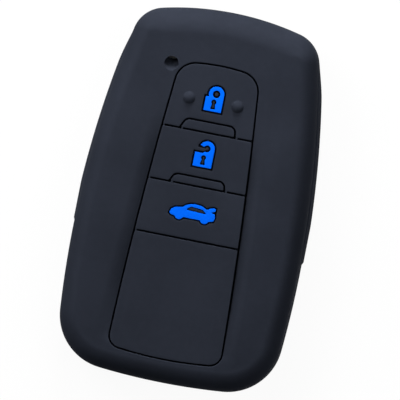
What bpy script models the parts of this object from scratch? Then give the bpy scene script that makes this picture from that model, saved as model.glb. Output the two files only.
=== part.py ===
"""Car key cover: a soft silicone sleeve with three press buttons and coloured symbols.

The cover lies on its open back with its face up. X runs across the cover, Y runs
along it towards the lock button, and Z runs up out of the face. The origin is the
middle of the back, on the surface that the cover lies on. All values are in metres.

The sleeve is a closed band of rings: out from the mouth in the back, round the
outer wall, over the face, down through the panel window and back along the cavity.
The buttons, dividers and lower panel fill the window, a groove apart, over a ledge.
"""

import math

import bmesh
import bpy
import numpy as np

MM = 0.001

# Outline of the sleeve, seen from above
BODY_LENGTH = 80 * MM
BODY_HALF_WIDTH = 24.55 * MM
WIDEST_BELOW_CENTRE = 11.4 * MM
SIDE_RADIUS = 217 * MM
TOP_END_RADIUS = 62 * MM
BOTTOM_END_RADIUS = 140 * MM
TOP_CORNER_RADIUS = 6.5 * MM
BOTTOM_CORNER_RADIUS = 10.2 * MM

# Section of the sleeve
THICKNESS = 19 * MM
CROWN_RADIUS = 800 * MM
SIDE_WALL = 2 * MM
BACK_WALL = 2 * MM
BACK_FILLET = 4 * MM
FRONT_DRAFT = 0.3 * MM
SHOULDER_HEIGHT = 10.8 * MM
SIDE_SHOULDER_WIDTH = 4.2 * MM
TOP_SHOULDER_WIDTH = 6 * MM
BOTTOM_SHOULDER_WIDTH = 4.6 * MM
INNER_FILLET = 2 * MM

# Side rails: the face stands a little proud of the panel along both sides
RAIL_RISE = 0.5 * MM
RAIL_FADE_TOP = 12 * MM
RAIL_FADE_LENGTH = 16 * MM
SIDE_TROUGH_WIDTH = 2.6 * MM
TOP_TROUGH_WIDTH = 0.7 * MM
BOTTOM_TROUGH_WIDTH = 0.4 * MM

# Grip ridges along the sides
RIDGE_PROUD = 0.5 * MM
RIDGE_LOW = 4.6 * MM
RIDGE_HIGH = 10.5 * MM
RIDGE_EDGE = 0.4 * MM
RIDGE_END_BELOW_CENTRE = 9 * MM
RIDGE_END_CHAMFER = 0.9 * MM
RIDGE_FADE_START = 25 * MM
RIDGE_FADE_LENGTH = 10 * MM

# Mouth in the back, through which the key goes in
MOUTH_SIDE_LIP = 7.2 * MM
MOUTH_TOP_LIP = 8.5 * MM
MOUTH_BOTTOM_LIP = 8 * MM
MOUTH_CORNER_RADIUS = 6 * MM
MOUTH_EDGE_ROUND = 0.6 * MM

# Panel that holds the buttons, bounded by a thin groove
PANEL_TOP_MARGIN = 12.1 * MM
PANEL_BOTTOM_MARGIN = 5.2 * MM
PANEL_SIDE_RADIUS = 909 * MM
PANEL_LOW_STATION = 10.4 * MM
PANEL_LOW_HALF_WIDTH = 12.1 * MM
PANEL_SIDE_SLOPE = 0.033
PANEL_TOP_RADIUS = 42 * MM
PANEL_BOTTOM_RADIUS = 82 * MM
PANEL_TOP_CORNER = 3.6 * MM
PANEL_BOTTOM_CORNER = 2.6 * MM
GROOVE = 0.4 * MM
GROOVE_EDGE_ROUND = 0.15 * MM

# Front wall, ledge and travel under the panel
FRONT_WALL = 2.5 * MM
LEDGE_THICKNESS = 0.4 * MM
LEDGE_WIDTH = 1 * MM
SEAT_GAP = 0.3 * MM
FOOT_THICKNESS = 0.4 * MM
TRAVEL = 0.5 * MM
TRAVEL_CLEARANCE = 0.1 * MM

# Buttons, from the top of the panel down, and the dividers between them
LOCK_HEIGHT = 14.2 * MM
UNLOCK_HEIGHT = 11.5 * MM
TRUNK_HEIGHT = 11.2 * MM
BUTTON_EDGE = 0.15 * MM
BOSS_BELOW_WALL = 0.3 * MM
BOSS_CLEARANCE = 0.5 * MM
DIVIDER_RISE = 1.95 * MM
DIVIDER_LEFT_REACH = 5.3 * MM
DIVIDER_LEFT_CORNER = 1.3 * MM
DIVIDER_LEFT_SLANT = math.radians(28)
DIVIDER_RIGHT_REACH = 5.6 * MM
DIVIDER_RIGHT_CORNER = 1.8 * MM
DIVIDER_RIGHT_SLANT = math.radians(8)
FOOT_OVERLAP = 0.8 * MM
PLUG_GAP = 0.4 * MM

# Domes beside the lock symbol
DOME_RADIUS = 1.3 * MM
DOME_HEIGHT = 0.7 * MM
DOME_SPREAD = 5.15 * MM
DOME_RISE = 6.4 * MM
DOME_SUNK = 0.3 * MM

# Symbols, which lie in pockets
POCKET_DEPTH = 0.7 * MM
SYMBOL_RECESS = 0.3 * MM
SYMBOL_SEAT_GAP = 0.1 * MM
SYMBOL_SIDE_GAP = 0.1 * MM
SYMBOL_SHIFT = 0.12 * MM
LOCK_SYMBOL_RISE = 4.2 * MM
UNLOCK_SYMBOL_RISE = 4 * MM
TRUNK_SYMBOL_RISE = 3.8 * MM
PADLOCK_HALF_WIDTH = 2.12 * MM
PADLOCK_HEIGHT = 3.4 * MM
SHACKLE_RADIUS = 1.72 * MM
CLOSED_SHACKLE_RISE = 0.7 * MM
OPEN_SHACKLE_RISE = 1.05 * MM
CLOSED_EYE_RADIUS = 0.5 * MM
OPEN_EYE_RADIUS = 0.65 * MM
OPEN_SHACKLE_END = math.radians(152)
KEYHOLE_RADIUS = 0.33 * MM
KEYHOLE_ABOVE_BASE = 2.35 * MM
KEYHOLE_SLOT_LENGTH = 1.5 * MM
KEYHOLE_SLOT_HALF_WIDTH = 0.42 * MM
CAR_LENGTH = 9.9 * MM
CAR_HEIGHT = 4.05 * MM
CAR_CORNER_RADIUS = 0.25 * MM
CAR_WHEEL_RADIUS = 0.74 * MM
CAR_SILL_SHARE = 0.17
CAR_WHEEL_SHARES = (0.21, 0.785)
CAR_TAIL_TO_NOSE_SHARES = (
    (0.9, 0.17), (1.0, 0.27), (0.98, 0.62), (0.9, 0.76), (1.0, 0.88), (0.97, 1.0), (0.885, 0.98), (0.82, 0.8),
    (0.72, 0.94), (0.6, 1.0), (0.4, 0.98), (0.26, 0.74), (0.12, 0.68), (0.02, 0.52), (0.0, 0.27), (0.1, 0.17),
)
CAR_WINDOW_SHARES = ((0.39, 0.64), (0.76, 0.62), (0.66, 0.78), (0.46, 0.79))

# Colours of the silicone
BLACK = (0.016, 0.018, 0.024)
BLUE = (0.001, 0.11, 0.84)
SILICONE_ROUGHNESS = 0.6

# Hole over the key's light, beside the panel's top left corner
LIGHT_HOLE_RADIUS = 1.55 * MM
LIGHT_HOLE_WALL = 0.45 * MM
LIGHT_HOLE_BEARING = math.radians(155)
LIGHT_HOLE_TILT = math.radians(30)

# Slot for the key ring in the top end
SLOT_HALF_WIDTH = 6 * MM
SLOT_HEIGHT = 4.8 * MM
SLOT_LEVEL = 8 * MM

# Fineness of the rings and arcs
SIDE_STEPS_BELOW_RIDGE = 4
SIDE_STEPS_ALONG_RIDGE = 8
CORNER_STEPS = 6
END_STEPS = 3
FILLET_STEPS = 4
TROUGH_STEPS = 3
ARC_STEPS = 10
CORNER_ROUND_STEPS = 3
DOME_STEPS = 4
DOME_SIDES = 16
SHADE_ANGLE = math.radians(35)
CORNER_LIMIT_SHARE = 0.95
MIDDLE_TOLERANCE = 0.001 * MM
CUT_OVERRUN = 2 * MM

# Heights that follow from the sizes above
PANEL_LEVEL = THICKNESS - RAIL_RISE
INNER_LEVEL = PANEL_LEVEL - FRONT_WALL
LEDGE_LEVEL = INNER_LEVEL + LEDGE_THICKNESS
FOOT_LEVEL = LEDGE_LEVEL + SEAT_GAP
RIM_LEVEL = FOOT_LEVEL + FOOT_THICKNESS + TRAVEL_CLEARANCE + TRAVEL
BOSS_LEVEL = INNER_LEVEL - BOSS_BELOW_WALL

# Places along the cover that follow from the sizes above
BODY_TOP = BODY_LENGTH / 2
BODY_BOTTOM = -BODY_LENGTH / 2
PANEL_TOP = BODY_TOP - PANEL_TOP_MARGIN
PANEL_BOTTOM = BODY_BOTTOM + PANEL_BOTTOM_MARGIN
UPPER_LINE = PANEL_TOP - LOCK_HEIGHT
LOWER_LINE = UPPER_LINE - UNLOCK_HEIGHT
PANEL_LINE = LOWER_LINE - TRUNK_HEIGHT


def smooth_step(value):
    """Rises from 0 to 1 with flat ends as the value goes from 0 to 1."""
    t = np.clip(value, 0, 1)
    return t * t * (3 - 2 * t)


def bearing(start, end):
    """Angle of the line from start to end."""
    return math.atan2(end[1] - start[1], end[0] - start[0])


class Outline:
    """Bowed sides and ends joined by round corners, the same on both sides of X = 0.

    Each station has a point and an outward direction, so an inset copy is exact.
    """

    def __init__(self, top, bottom, half_width, widest, side_radius, end_radii, corner_radii, side_shares):
        top_radius, bottom_radius = end_radii
        top_corner, bottom_corner = corner_radii
        side_centre = (half_width - side_radius, widest)
        top_centre = (0, top - top_radius)
        bottom_centre = (0, bottom + bottom_radius)
        self.side_centre, self.side_radius = side_centre, side_radius
        self.top_corner_centre = self._corner(side_centre, side_radius, top_centre, top_radius, top_corner)
        flipped = [(x, -y) for x, y in (side_centre, bottom_centre)]
        low = self._corner(flipped[0], side_radius, flipped[1], bottom_radius, bottom_corner)
        low = np.array([low[0], -low[1]])

        bottom_turn = bearing(bottom_centre, low)
        side_start = bearing(side_centre, low)
        side_end = bearing(side_centre, self.top_corner_centre)
        top_turn = bearing(top_centre, self.top_corner_centre)
        ends = np.linspace(0, 1, END_STEPS + 1)[:-1]
        turns = np.linspace(0, 1, CORNER_STEPS + 1)[:-1]
        stretches = (
            (bottom_centre, bottom_radius, -math.pi / 2, bottom_turn, ends, 0, -1),
            (low, bottom_corner, bottom_turn, side_start, turns, 1, -1),
            (side_centre, side_radius, side_start, side_end, side_shares[:-1], 0, 0),
            (self.top_corner_centre, top_corner, side_end, top_turn, turns, 1, 1),
            (top_centre, top_radius, top_turn, math.pi / 2, np.append(ends, 1), 0, 1),
        )
        points, directions, towards_end = [], [], []
        for centre, radius, start, end, shares, is_corner, end_sign in stretches:
            angles = start + (end - start) * np.asarray(shares)
            direction = np.column_stack([np.cos(angles), np.sin(angles)])
            points.append(np.array(centre) + radius * direction)
            directions.append(direction)
            through = smooth_step(shares) if end_sign > 0 else 1 - smooth_step(shares)
            towards_end.append(end_sign * (through if is_corner else np.ones(len(angles))))
        self.points = self._mirrored(np.concatenate(points))
        self.directions = self._mirrored(np.concatenate(directions))
        half = np.concatenate(towards_end)
        whole = np.concatenate([half, half[-2:0:-1]])
        self.top_share = np.clip(whole, 0, 1)
        self.bottom_share = np.clip(-whole, 0, 1)

    @staticmethod
    def _corner(side_centre, side_radius, end_centre, end_radius, corner):
        """Centre of the corner arc that touches a side and an end from inside, near the top."""
        a, b = np.array(side_centre), np.array(end_centre)
        apart = np.linalg.norm(b - a)
        along = (b - a) / apart
        radius_a, radius_b = side_radius - corner, end_radius - corner
        reach = (radius_a**2 - radius_b**2 + apart**2) / (2 * apart)
        height = math.sqrt(radius_a**2 - reach**2)
        return a + along * reach + np.array([-along[1], along[0]]) * height

    @staticmethod
    def _mirrored(half):
        """The right half followed by the left half, without repeating the middle points."""
        left = half[-2:0:-1] * np.array([-1, 1])
        return np.concatenate([half, left])

    def blended(self, side, top, bottom):
        """A value at each station that changes from the sides to the two ends."""
        return side + (top - side) * self.top_share + (bottom - side) * self.bottom_share

    def ring(self, inset):
        """The outline moved inwards by an inset, which may differ between stations."""
        return self.points - np.reshape(inset, (-1, 1)) * self.directions

    def side_x(self, y, inset):
        """X of the right side at a place along the cover."""
        radius = self.side_radius - inset
        return self.side_centre[0] + math.sqrt(radius**2 - (y - self.side_centre[1]) ** 2)


def side_shares_at_ridge():
    """Stations along a side, as shares, with two of them at the ends of the ridge's chamfer."""
    start = -BODY_LENGTH / 2 + BOTTOM_CORNER_RADIUS
    span = BODY_LENGTH - BOTTOM_CORNER_RADIUS - TOP_CORNER_RADIUS
    ridge_end = (-RIDGE_END_BELOW_CENTRE - start) / span
    chamfer_end = (-RIDGE_END_BELOW_CENTRE - RIDGE_END_CHAMFER - start) / span
    below = np.linspace(0, chamfer_end, SIDE_STEPS_BELOW_RIDGE)
    above = np.linspace(ridge_end, 1, SIDE_STEPS_ALONG_RIDGE)
    return np.concatenate([below, above])


SIDE_SHARES = side_shares_at_ridge()


def body_outline():
    return Outline(
        BODY_TOP, BODY_BOTTOM, BODY_HALF_WIDTH, -WIDEST_BELOW_CENTRE, SIDE_RADIUS,
        (TOP_END_RADIUS, BOTTOM_END_RADIUS), (TOP_CORNER_RADIUS, BOTTOM_CORNER_RADIUS), SIDE_SHARES,
    )


def panel_outline():
    """Middle line of the groove around the panel, which narrows towards the lock button."""
    widest = BODY_BOTTOM + PANEL_LOW_STATION - PANEL_SIDE_SLOPE * PANEL_SIDE_RADIUS
    half_width = PANEL_LOW_HALF_WIDTH + PANEL_SIDE_RADIUS * PANEL_SIDE_SLOPE**2 / 2
    return Outline(
        PANEL_TOP, PANEL_BOTTOM, half_width, widest, PANEL_SIDE_RADIUS,
        (PANEL_TOP_RADIUS, PANEL_BOTTOM_RADIUS), (PANEL_TOP_CORNER, PANEL_BOTTOM_CORNER), SIDE_SHARES,
    )


def mouth_outline():
    """Edge of the opening in the back, which runs beside the outer wall."""
    return Outline(
        BODY_TOP - MOUTH_TOP_LIP, BODY_BOTTOM + MOUTH_BOTTOM_LIP,
        BODY_HALF_WIDTH - MOUTH_SIDE_LIP, -WIDEST_BELOW_CENTRE, SIDE_RADIUS - MOUTH_SIDE_LIP,
        (TOP_END_RADIUS, BOTTOM_END_RADIUS), (MOUTH_CORNER_RADIUS, MOUTH_CORNER_RADIUS), SIDE_SHARES,
    )


def at_height(points, height):
    """Plan points lifted to a height, which may differ between points."""
    return np.column_stack([points, np.broadcast_to(height, len(points))])


def crowned(points):
    """Bends the face down towards both ends of the cover; the back stays flat."""
    bent = np.array(points, dtype=float)
    share = np.clip(bent[:, 2] / INNER_LEVEL, 0, 1)
    bent[:, 2] -= share * bent[:, 1] ** 2 / (2 * CROWN_RADIUS)
    return bent


def circle(centre, radius, start=0.0, end=2 * math.pi, steps=2 * ARC_STEPS, closed=True):
    """Points round a circle, or along an arc of it."""
    angles = np.linspace(start, end, steps + 1)
    if closed:
        angles = angles[:-1]
    return np.array(centre) + radius * np.column_stack([np.cos(angles), np.sin(angles)])


def joined_halves(right_half, left_half):
    """A closed outline from two halves, each listed upwards as if it were the right one.

    A point of the left half that lies on the middle line isn't repeated.
    """
    left = np.array(left_half)[::-1] * np.array([-1, 1])
    return np.concatenate([right_half, left[np.abs(left[:, 0]) > MIDDLE_TOLERANCE]])


def mirrored_outline(right_half):
    """A closed outline, the same on both sides, from its right half."""
    return joined_halves(right_half, right_half)


def rounded(corners, radius):
    """A polygon whose corners are arcs, smaller where an edge is short."""
    corners = np.array(corners)
    points = []
    for before, corner, after in zip(np.roll(corners, 1, axis=0), corners, np.roll(corners, -1, axis=0)):
        reach_in, reach_out = before - corner, after - corner
        length_in, length_out = np.linalg.norm(reach_in), np.linalg.norm(reach_out)
        unit_in, unit_out = reach_in / length_in, reach_out / length_out
        half_angle = math.acos(np.clip(unit_in @ unit_out, -1, 1)) / 2
        tangent = min(radius / math.tan(half_angle), min(length_in, length_out) / 2 * CORNER_LIMIT_SHARE)
        start, end = corner + tangent * unit_in, corner + tangent * unit_out
        for share in np.linspace(0, 1, CORNER_ROUND_STEPS + 1):
            onwards = 1 - share
            points.append(onwards**2 * start + 2 * onwards * share * corner + share**2 * end)
    return np.array(points)


def grown(points, distance):
    """A closed outline, listed anticlockwise, moved outwards by a distance."""
    before, after = np.roll(points, 1, axis=0), np.roll(points, -1, axis=0)

    def outward(start, end):
        edge = (end - start) / np.linalg.norm(end - start, axis=1, keepdims=True)
        return np.column_stack([edge[:, 1], -edge[:, 0]])

    normal_in, normal_out = outward(before, points), outward(points, after)
    together = normal_in + normal_out
    lean = np.sum(together * normal_in, axis=1, keepdims=True)
    return points + distance * together / lean


def finished(name, bm, material, origin):
    """Makes an object of a mesh in world places, with its origin where it is wanted."""
    bmesh.ops.recalc_face_normals(bm, faces=bm.faces)
    if bm.calc_volume(signed=True) < 0:
        bmesh.ops.reverse_faces(bm, faces=bm.faces)
    bmesh.ops.translate(bm, verts=bm.verts, vec=[-value for value in origin])
    mesh = bpy.data.meshes.new(name)
    bm.to_mesh(mesh)
    bm.free()
    mesh.shade_smooth()
    mesh.set_sharp_from_angle(angle=SHADE_ANGLE)
    if material:
        mesh.materials.append(material)
    item = bpy.data.objects.new(name, mesh)
    item.location = origin
    bpy.context.collection.objects.link(item)
    return item


def lofted(name, rings, material=None, origin=(0, 0, 0), closed=False):
    """Skins rings of equal counts in order; the ends are capped, or joined if closed."""
    bm = bmesh.new()
    rows = [[bm.verts.new(point) for point in crowned(ring)] for ring in rings]
    pairs = list(zip(rows, rows[1:]))
    if closed:
        pairs.append((rows[-1], rows[0]))
    else:
        bm.faces.new(rows[0])
        bm.faces.new(rows[-1])
    for lower, upper in pairs:
        for this, following in zip(range(len(lower)), [*range(1, len(lower)), 0]):
            bm.faces.new((lower[this], lower[following], upper[following], upper[this]))
    return finished(name, bm, material, origin)


def plate(name, loops, bottom, top, material=None, origin=(0, 0, 0)):
    """A flat plate between two heights: the first loop is its edge, the others are holes."""
    bm = bmesh.new()
    edges = []
    for loop in loops:
        verts = [bm.verts.new(point) for point in crowned(at_height(loop, bottom))]
        edges += [bm.edges.new(pair) for pair in zip(verts, verts[1:] + verts[:1])]
    bmesh.ops.triangle_fill(bm, edges=edges, use_beauty=True)
    raised = bmesh.ops.extrude_face_region(bm, geom=bm.faces[:])["geom"]
    top_verts = [item for item in raised if isinstance(item, bmesh.types.BMVert)]
    bmesh.ops.translate(bm, verts=top_verts, vec=(0, 0, top - bottom))
    return finished(name, bm, material, origin)


def combine(target, tool, operation):
    """Cuts a helper solid out of an object, or joins it on, and shades the result afresh."""
    modifier = target.modifiers.new(tool.name, "BOOLEAN")
    modifier.operation = operation
    modifier.solver = "EXACT"
    modifier.object = tool
    evaluated = target.evaluated_get(bpy.context.evaluated_depsgraph_get())
    mesh = bpy.data.meshes.new_from_object(evaluated)
    target.modifiers.clear()
    target.data = mesh
    mesh.shade_smooth()
    mesh.set_sharp_from_angle(angle=SHADE_ANGLE)
    bpy.data.objects.remove(tool)


def silicone(name, colour):
    """Matt silicone rubber of one colour."""
    material = bpy.data.materials.new(name)
    material.use_nodes = True
    shader = material.node_tree.nodes["Principled BSDF"]
    shader.inputs["Base Color"].default_value = (*colour, 1)
    shader.inputs["Roughness"].default_value = SILICONE_ROUGHNESS
    shader.inputs["Metallic"].default_value = 0
    material.diffuse_color = (*colour, 1)
    return material


def quarter_turn():
    """Sines and cosines of the steps of a quarter turn."""
    angles = np.linspace(0, math.pi / 2, FILLET_STEPS + 1)
    return zip(np.sin(angles), np.cos(angles))


def sleeve_back_and_sides(body, mouth):
    """Rings from the mouth's edge over the back and up the outer wall, past the grip ridge."""
    y = body.points[:, 1]
    low_end = np.clip((y + RIDGE_END_BELOW_CENTRE + RIDGE_END_CHAMFER) / RIDGE_END_CHAMFER, 0, 1)
    fade = 1 - smooth_step((y - RIDGE_FADE_START) / RIDGE_FADE_LENGTH)
    ridge = RIDGE_PROUD * low_end * fade

    rings = [at_height(mouth.ring(0), BACK_WALL)]
    for sine, cosine in quarter_turn():
        rings.append(at_height(mouth.ring(-MOUTH_EDGE_ROUND * (1 - cosine)), MOUTH_EDGE_ROUND * (1 - sine)))
    for sine, cosine in quarter_turn():
        rings.append(at_height(body.ring(BACK_FILLET * (1 - sine)), BACK_FILLET * (1 - cosine)))
    ridge_profile = (
        (RIDGE_LOW, 0 * ridge), (RIDGE_LOW + RIDGE_EDGE, ridge),
        (RIDGE_HIGH - RIDGE_EDGE, ridge), (RIDGE_HIGH, 0 * ridge),
    )
    for height, proud in ridge_profile:
        draft = FRONT_DRAFT * (height - BACK_FILLET) / (SHOULDER_HEIGHT - BACK_FILLET)
        rings.append(at_height(body.ring(draft - proud), height))
    return rings


def sleeve_face(body, panel):
    """Rings over the front shoulder, across the rail and down through the panel window."""
    y = body.points[:, 1]
    rail_start = BODY_TOP - RAIL_FADE_TOP - RAIL_FADE_LENGTH
    rail = RAIL_RISE * (1 - smooth_step((y - rail_start) / RAIL_FADE_LENGTH))
    shoulder = body.blended(
        SIDE_SHOULDER_WIDTH,
        min(TOP_SHOULDER_WIDTH, CORNER_LIMIT_SHARE * TOP_CORNER_RADIUS),
        min(BOTTOM_SHOULDER_WIDTH, CORNER_LIMIT_SHARE * BOTTOM_CORNER_RADIUS),
    )
    trough = body.blended(SIDE_TROUGH_WIDTH, TOP_TROUGH_WIDTH, BOTTOM_TROUGH_WIDTH)

    rings = []
    for sine, cosine in quarter_turn():
        inset = FRONT_DRAFT + (shoulder - FRONT_DRAFT) * (1 - cosine)
        height = SHOULDER_HEIGHT + (PANEL_LEVEL + rail - SHOULDER_HEIGHT) * sine
        rings.append(at_height(body.ring(inset), height))
    edge = GROOVE / 2 + GROOVE_EDGE_ROUND
    for share in np.linspace(1, 0, TROUGH_STEPS + 1):
        outset = edge + trough * share
        rings.append(at_height(panel.ring(-outset), PANEL_LEVEL + rail * smooth_step(share)))
    rings.append(at_height(panel.ring(-GROOVE / 2), PANEL_LEVEL - GROOVE_EDGE_ROUND))
    return rings


def sleeve_cavity(body, panel):
    """Rings of the ledge under the panel and of the cavity that holds the key."""
    ledge_inset = LEDGE_WIDTH - GROOVE / 2
    rings = [
        at_height(panel.ring(-GROOVE / 2), LEDGE_LEVEL),
        at_height(panel.ring(ledge_inset), LEDGE_LEVEL),
        at_height(panel.ring(ledge_inset), INNER_LEVEL),
    ]
    for sine, cosine in quarter_turn():
        inset = SIDE_WALL + INNER_FILLET * (1 - sine)
        rings.append(at_height(body.ring(inset), INNER_LEVEL - INNER_FILLET * (1 - cosine)))
    for sine, cosine in quarter_turn():
        inset = SIDE_WALL + INNER_FILLET * (1 - cosine)
        rings.append(at_height(body.ring(inset), BACK_WALL + INNER_FILLET * (1 - sine)))
    return rings


def light_hole(panel):
    """Slanted round hole beside the panel's top left corner, over the key's light."""
    reach = PANEL_TOP_CORNER + GROOVE / 2 + LIGHT_HOLE_WALL + LIGHT_HOLE_RADIUS
    corner = panel.top_corner_centre * np.array([-1, 1])
    centre = corner + reach * np.array([math.cos(LIGHT_HOLE_BEARING), math.sin(LIGHT_HOLE_BEARING)])
    lean = math.tan(LIGHT_HOLE_TILT)
    rings = []
    for height in (INNER_LEVEL - CUT_OVERRUN, THICKNESS + CUT_OVERRUN):
        shift = np.array([0, (PANEL_LEVEL - height) * lean])
        rings.append(at_height(circle(centre + shift, LIGHT_HOLE_RADIUS), height))
    return lofted("light_hole_cutter", rings)


def ring_slot():
    """Round-ended slot through the top end wall, for a key ring."""
    end_radius = SLOT_HEIGHT / 2
    centre = SLOT_HALF_WIDTH - end_radius
    right = circle((centre, SLOT_LEVEL), end_radius, -math.pi / 2, math.pi / 2, ARC_STEPS, closed=False)
    outline = mirrored_outline(right)
    rings = []
    for y in (BODY_TOP - SIDE_WALL - CUT_OVERRUN, BODY_TOP + CUT_OVERRUN):
        rings.append(np.column_stack([outline[:, 0], np.full(len(outline), y), outline[:, 1]]))
    return lofted("ring_slot_cutter", rings)


def make_sleeve():
    """The shell: back, walls, face and ledge in one piece, with its hole and slot."""
    body, panel, mouth = body_outline(), panel_outline(), mouth_outline()
    rings = sleeve_back_and_sides(body, mouth) + sleeve_face(body, panel) + sleeve_cavity(body, panel)
    sleeve = lofted("sleeve", rings, silicone("sleeve_black", BLACK), closed=True)
    combine(sleeve, light_hole(panel), "DIFFERENCE")
    combine(sleeve, ring_slot(), "DIFFERENCE")
    return sleeve


def divider_half(line, offset, reach, corner, slant):
    """One half of a divider's outline, as if the right one, from its base up to its middle."""
    base = line + GROOVE / 2
    drop = DIVIDER_RISE - corner
    centre_x = reach - (corner + drop * math.sin(slant)) / math.cos(slant)
    foot_x = centre_x + (corner + offset + drop * math.sin(slant)) / math.cos(slant)
    centre = (centre_x, base + drop)
    shoulder = circle(centre, corner + offset, slant, math.pi / 2, FILLET_STEPS, closed=False)
    middle = (0, shoulder[-1][1])
    return np.concatenate([[(foot_x, base)], shoulder, [middle]])


def divider_halves(line, offset):
    """Right and left halves of a divider: a round shoulder on the right, a slant on the left."""
    right = divider_half(line, offset, DIVIDER_RIGHT_REACH, DIVIDER_RIGHT_CORNER, DIVIDER_RIGHT_SLANT)
    left = divider_half(line, offset, DIVIDER_LEFT_REACH, DIVIDER_LEFT_CORNER, DIVIDER_LEFT_SLANT)
    return right, left


def field_outline(panel, low, high, inset, notch_line=None):
    """Outline of a field of the panel: its edges are inset, and a notch may clear a divider.

    A low or high of None leaves that end to the panel's own outline.
    """
    ring = panel.ring(GROOVE / 2 + inset)
    half = len(ring) // 2 + 1
    stations, levels = ring[:half], panel.points[:half, 1]
    margin = GROOVE + max(inset, BUTTON_EDGE)
    keep = np.ones(half, dtype=bool)
    edge = []
    if low is not None:
        keep &= levels > low + margin
        edge.append((panel.side_x(low + inset, GROOVE / 2 + inset), low + inset))
    if high is not None:
        keep &= levels < high - margin
    edge += list(stations[keep])
    if high is not None:
        edge.append((panel.side_x(high - inset, GROOVE / 2 + inset), high - inset))
    if notch_line is None:
        return mirrored_outline(edge)
    halves = []
    for notch in divider_halves(notch_line, GROOVE + inset):
        notch[0, 1] = low + inset
        halves.append(np.concatenate([notch[::-1], edge]))
    return joined_halves(*halves)


def slab_rings(outline, bottom, top):
    """Rings of a field with a bevelled top edge; outline is a function of the inset."""
    return [
        at_height(outline(0), bottom),
        at_height(outline(0), top - BUTTON_EDGE),
        at_height(outline(BUTTON_EDGE), top),
    ]


def make_button(name, panel, low_line, high_line, notched):
    """A pressed field: a thin rim over the ledge and dividers' feet, and a boss in its middle."""
    low = low_line + GROOVE / 2
    high = None if high_line is None else high_line - GROOVE / 2
    notch_line = low_line if notched else None

    def rim(inset):
        return field_outline(panel, low, high, inset, notch_line)

    boss_inset = FOOT_OVERLAP - GROOVE / 2 + BOSS_CLEARANCE
    boss_low = low + DIVIDER_RISE + GROOVE if notched else low
    boss = field_outline(panel, boss_low, high, boss_inset)
    boss_top = (RIM_LEVEL + PANEL_LEVEL) / 2
    top_place = PANEL_TOP if high is None else high
    origin = (0, (low + top_place) / 2, PANEL_LEVEL)

    button = lofted(name, slab_rings(rim, RIM_LEVEL, PANEL_LEVEL), silicone(f"{name}_black", BLACK), origin)
    rings = [at_height(boss, BOSS_LEVEL), at_height(boss, boss_top)]
    combine(button, lofted(f"{name}_boss", rings, origin=origin), "UNION")
    return button


def make_divider(name, panel, line):
    """A fixed island that stands in the notch of the button above, on a foot across the window."""
    foot_low = line - FOOT_OVERLAP
    foot_high = line + DIVIDER_RISE + GROOVE + FOOT_OVERLAP
    foot = field_outline(panel, foot_low, foot_high, 0)
    middle = FOOT_LEVEL + FOOT_THICKNESS / 2

    def island(inset):
        right, left = divider_halves(line, -inset)
        right[0, 1] += inset
        left[0, 1] += inset
        return joined_halves(right, left)

    origin = (0, line + GROOVE / 2, PANEL_LEVEL)
    rings = slab_rings(island, middle, PANEL_LEVEL)
    divider = lofted(name, rings, silicone(f"{name}_black", BLACK), origin)
    feet = [at_height(foot, FOOT_LEVEL), at_height(foot, FOOT_LEVEL + FOOT_THICKNESS)]
    combine(divider, lofted(f"{name}_foot", feet, origin=origin), "UNION")
    return divider


def make_lower_panel(panel):
    """The plain field: a plug in the window, a foot on the ledge and under the last button."""
    foot_high = PANEL_LINE + FOOT_OVERLAP
    plug_inset = LEDGE_WIDTH - GROOVE + PLUG_GAP
    foot_top = FOOT_LEVEL + FOOT_THICKNESS

    def field(inset):
        return field_outline(panel, None, PANEL_LINE - GROOVE / 2, inset)

    foot = field_outline(panel, None, foot_high, 0)
    plug = field_outline(panel, None, foot_high, plug_inset)
    rings = [
        at_height(plug, INNER_LEVEL),
        at_height(plug, FOOT_LEVEL),
        at_height(foot, FOOT_LEVEL),
        at_height(foot, foot_top),
        *slab_rings(field, foot_top, PANEL_LEVEL),
    ]
    return lofted("lower_panel", rings, silicone("lower_panel_black", BLACK))


def add_domes(button):
    """Two low domes beside the lock symbol, to be felt with the thumb."""
    ball = (DOME_RADIUS**2 + DOME_HEIGHT**2) / (2 * DOME_HEIGHT)
    half_angle = math.asin(DOME_RADIUS / ball)
    for side in (-1, 1):
        centre = (side * DOME_SPREAD, UPPER_LINE + DOME_RISE)
        rings = [at_height(circle(centre, DOME_RADIUS, steps=DOME_SIDES), PANEL_LEVEL - DOME_SUNK)]
        for angle in np.linspace(half_angle, half_angle / DOME_STEPS, DOME_STEPS):
            radius, drop = ball * math.sin(angle), ball * (1 - math.cos(angle))
            height = PANEL_LEVEL + DOME_HEIGHT - drop
            rings.append(at_height(circle(centre, radius, steps=DOME_SIDES), height))
        combine(button, lofted("dome", rings, origin=button.location), "UNION")


def keyhole(base):
    """Round hole with a slot below it, in a padlock whose body starts at base."""
    centre = (0, base + KEYHOLE_ABOVE_BASE)
    bottom = centre[1] - KEYHOLE_SLOT_LENGTH
    start = -math.pi / 2 + math.asin(KEYHOLE_SLOT_HALF_WIDTH / 2 / KEYHOLE_RADIUS)
    right = circle(centre, KEYHOLE_RADIUS, start, math.pi / 2, ARC_STEPS, closed=False)
    return mirrored_outline(np.concatenate([[(KEYHOLE_SLOT_HALF_WIDTH, bottom)], right]))


def closed_padlock(base):
    """Outline of a shut padlock and its islands: the shackle's eye and the keyhole."""
    body_top = base + PADLOCK_HEIGHT
    eye = (0, body_top + CLOSED_SHACKLE_RISE)
    start = -math.asin(CLOSED_SHACKLE_RISE / SHACKLE_RADIUS)
    shackle = circle(eye, SHACKLE_RADIUS, start, math.pi / 2, ARC_STEPS, closed=False)
    corners = [(PADLOCK_HALF_WIDTH, base), (PADLOCK_HALF_WIDTH, body_top)]
    return [
        mirrored_outline(np.concatenate([corners, shackle])),
        circle(eye, CLOSED_EYE_RADIUS),
        keyhole(base),
    ]


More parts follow.
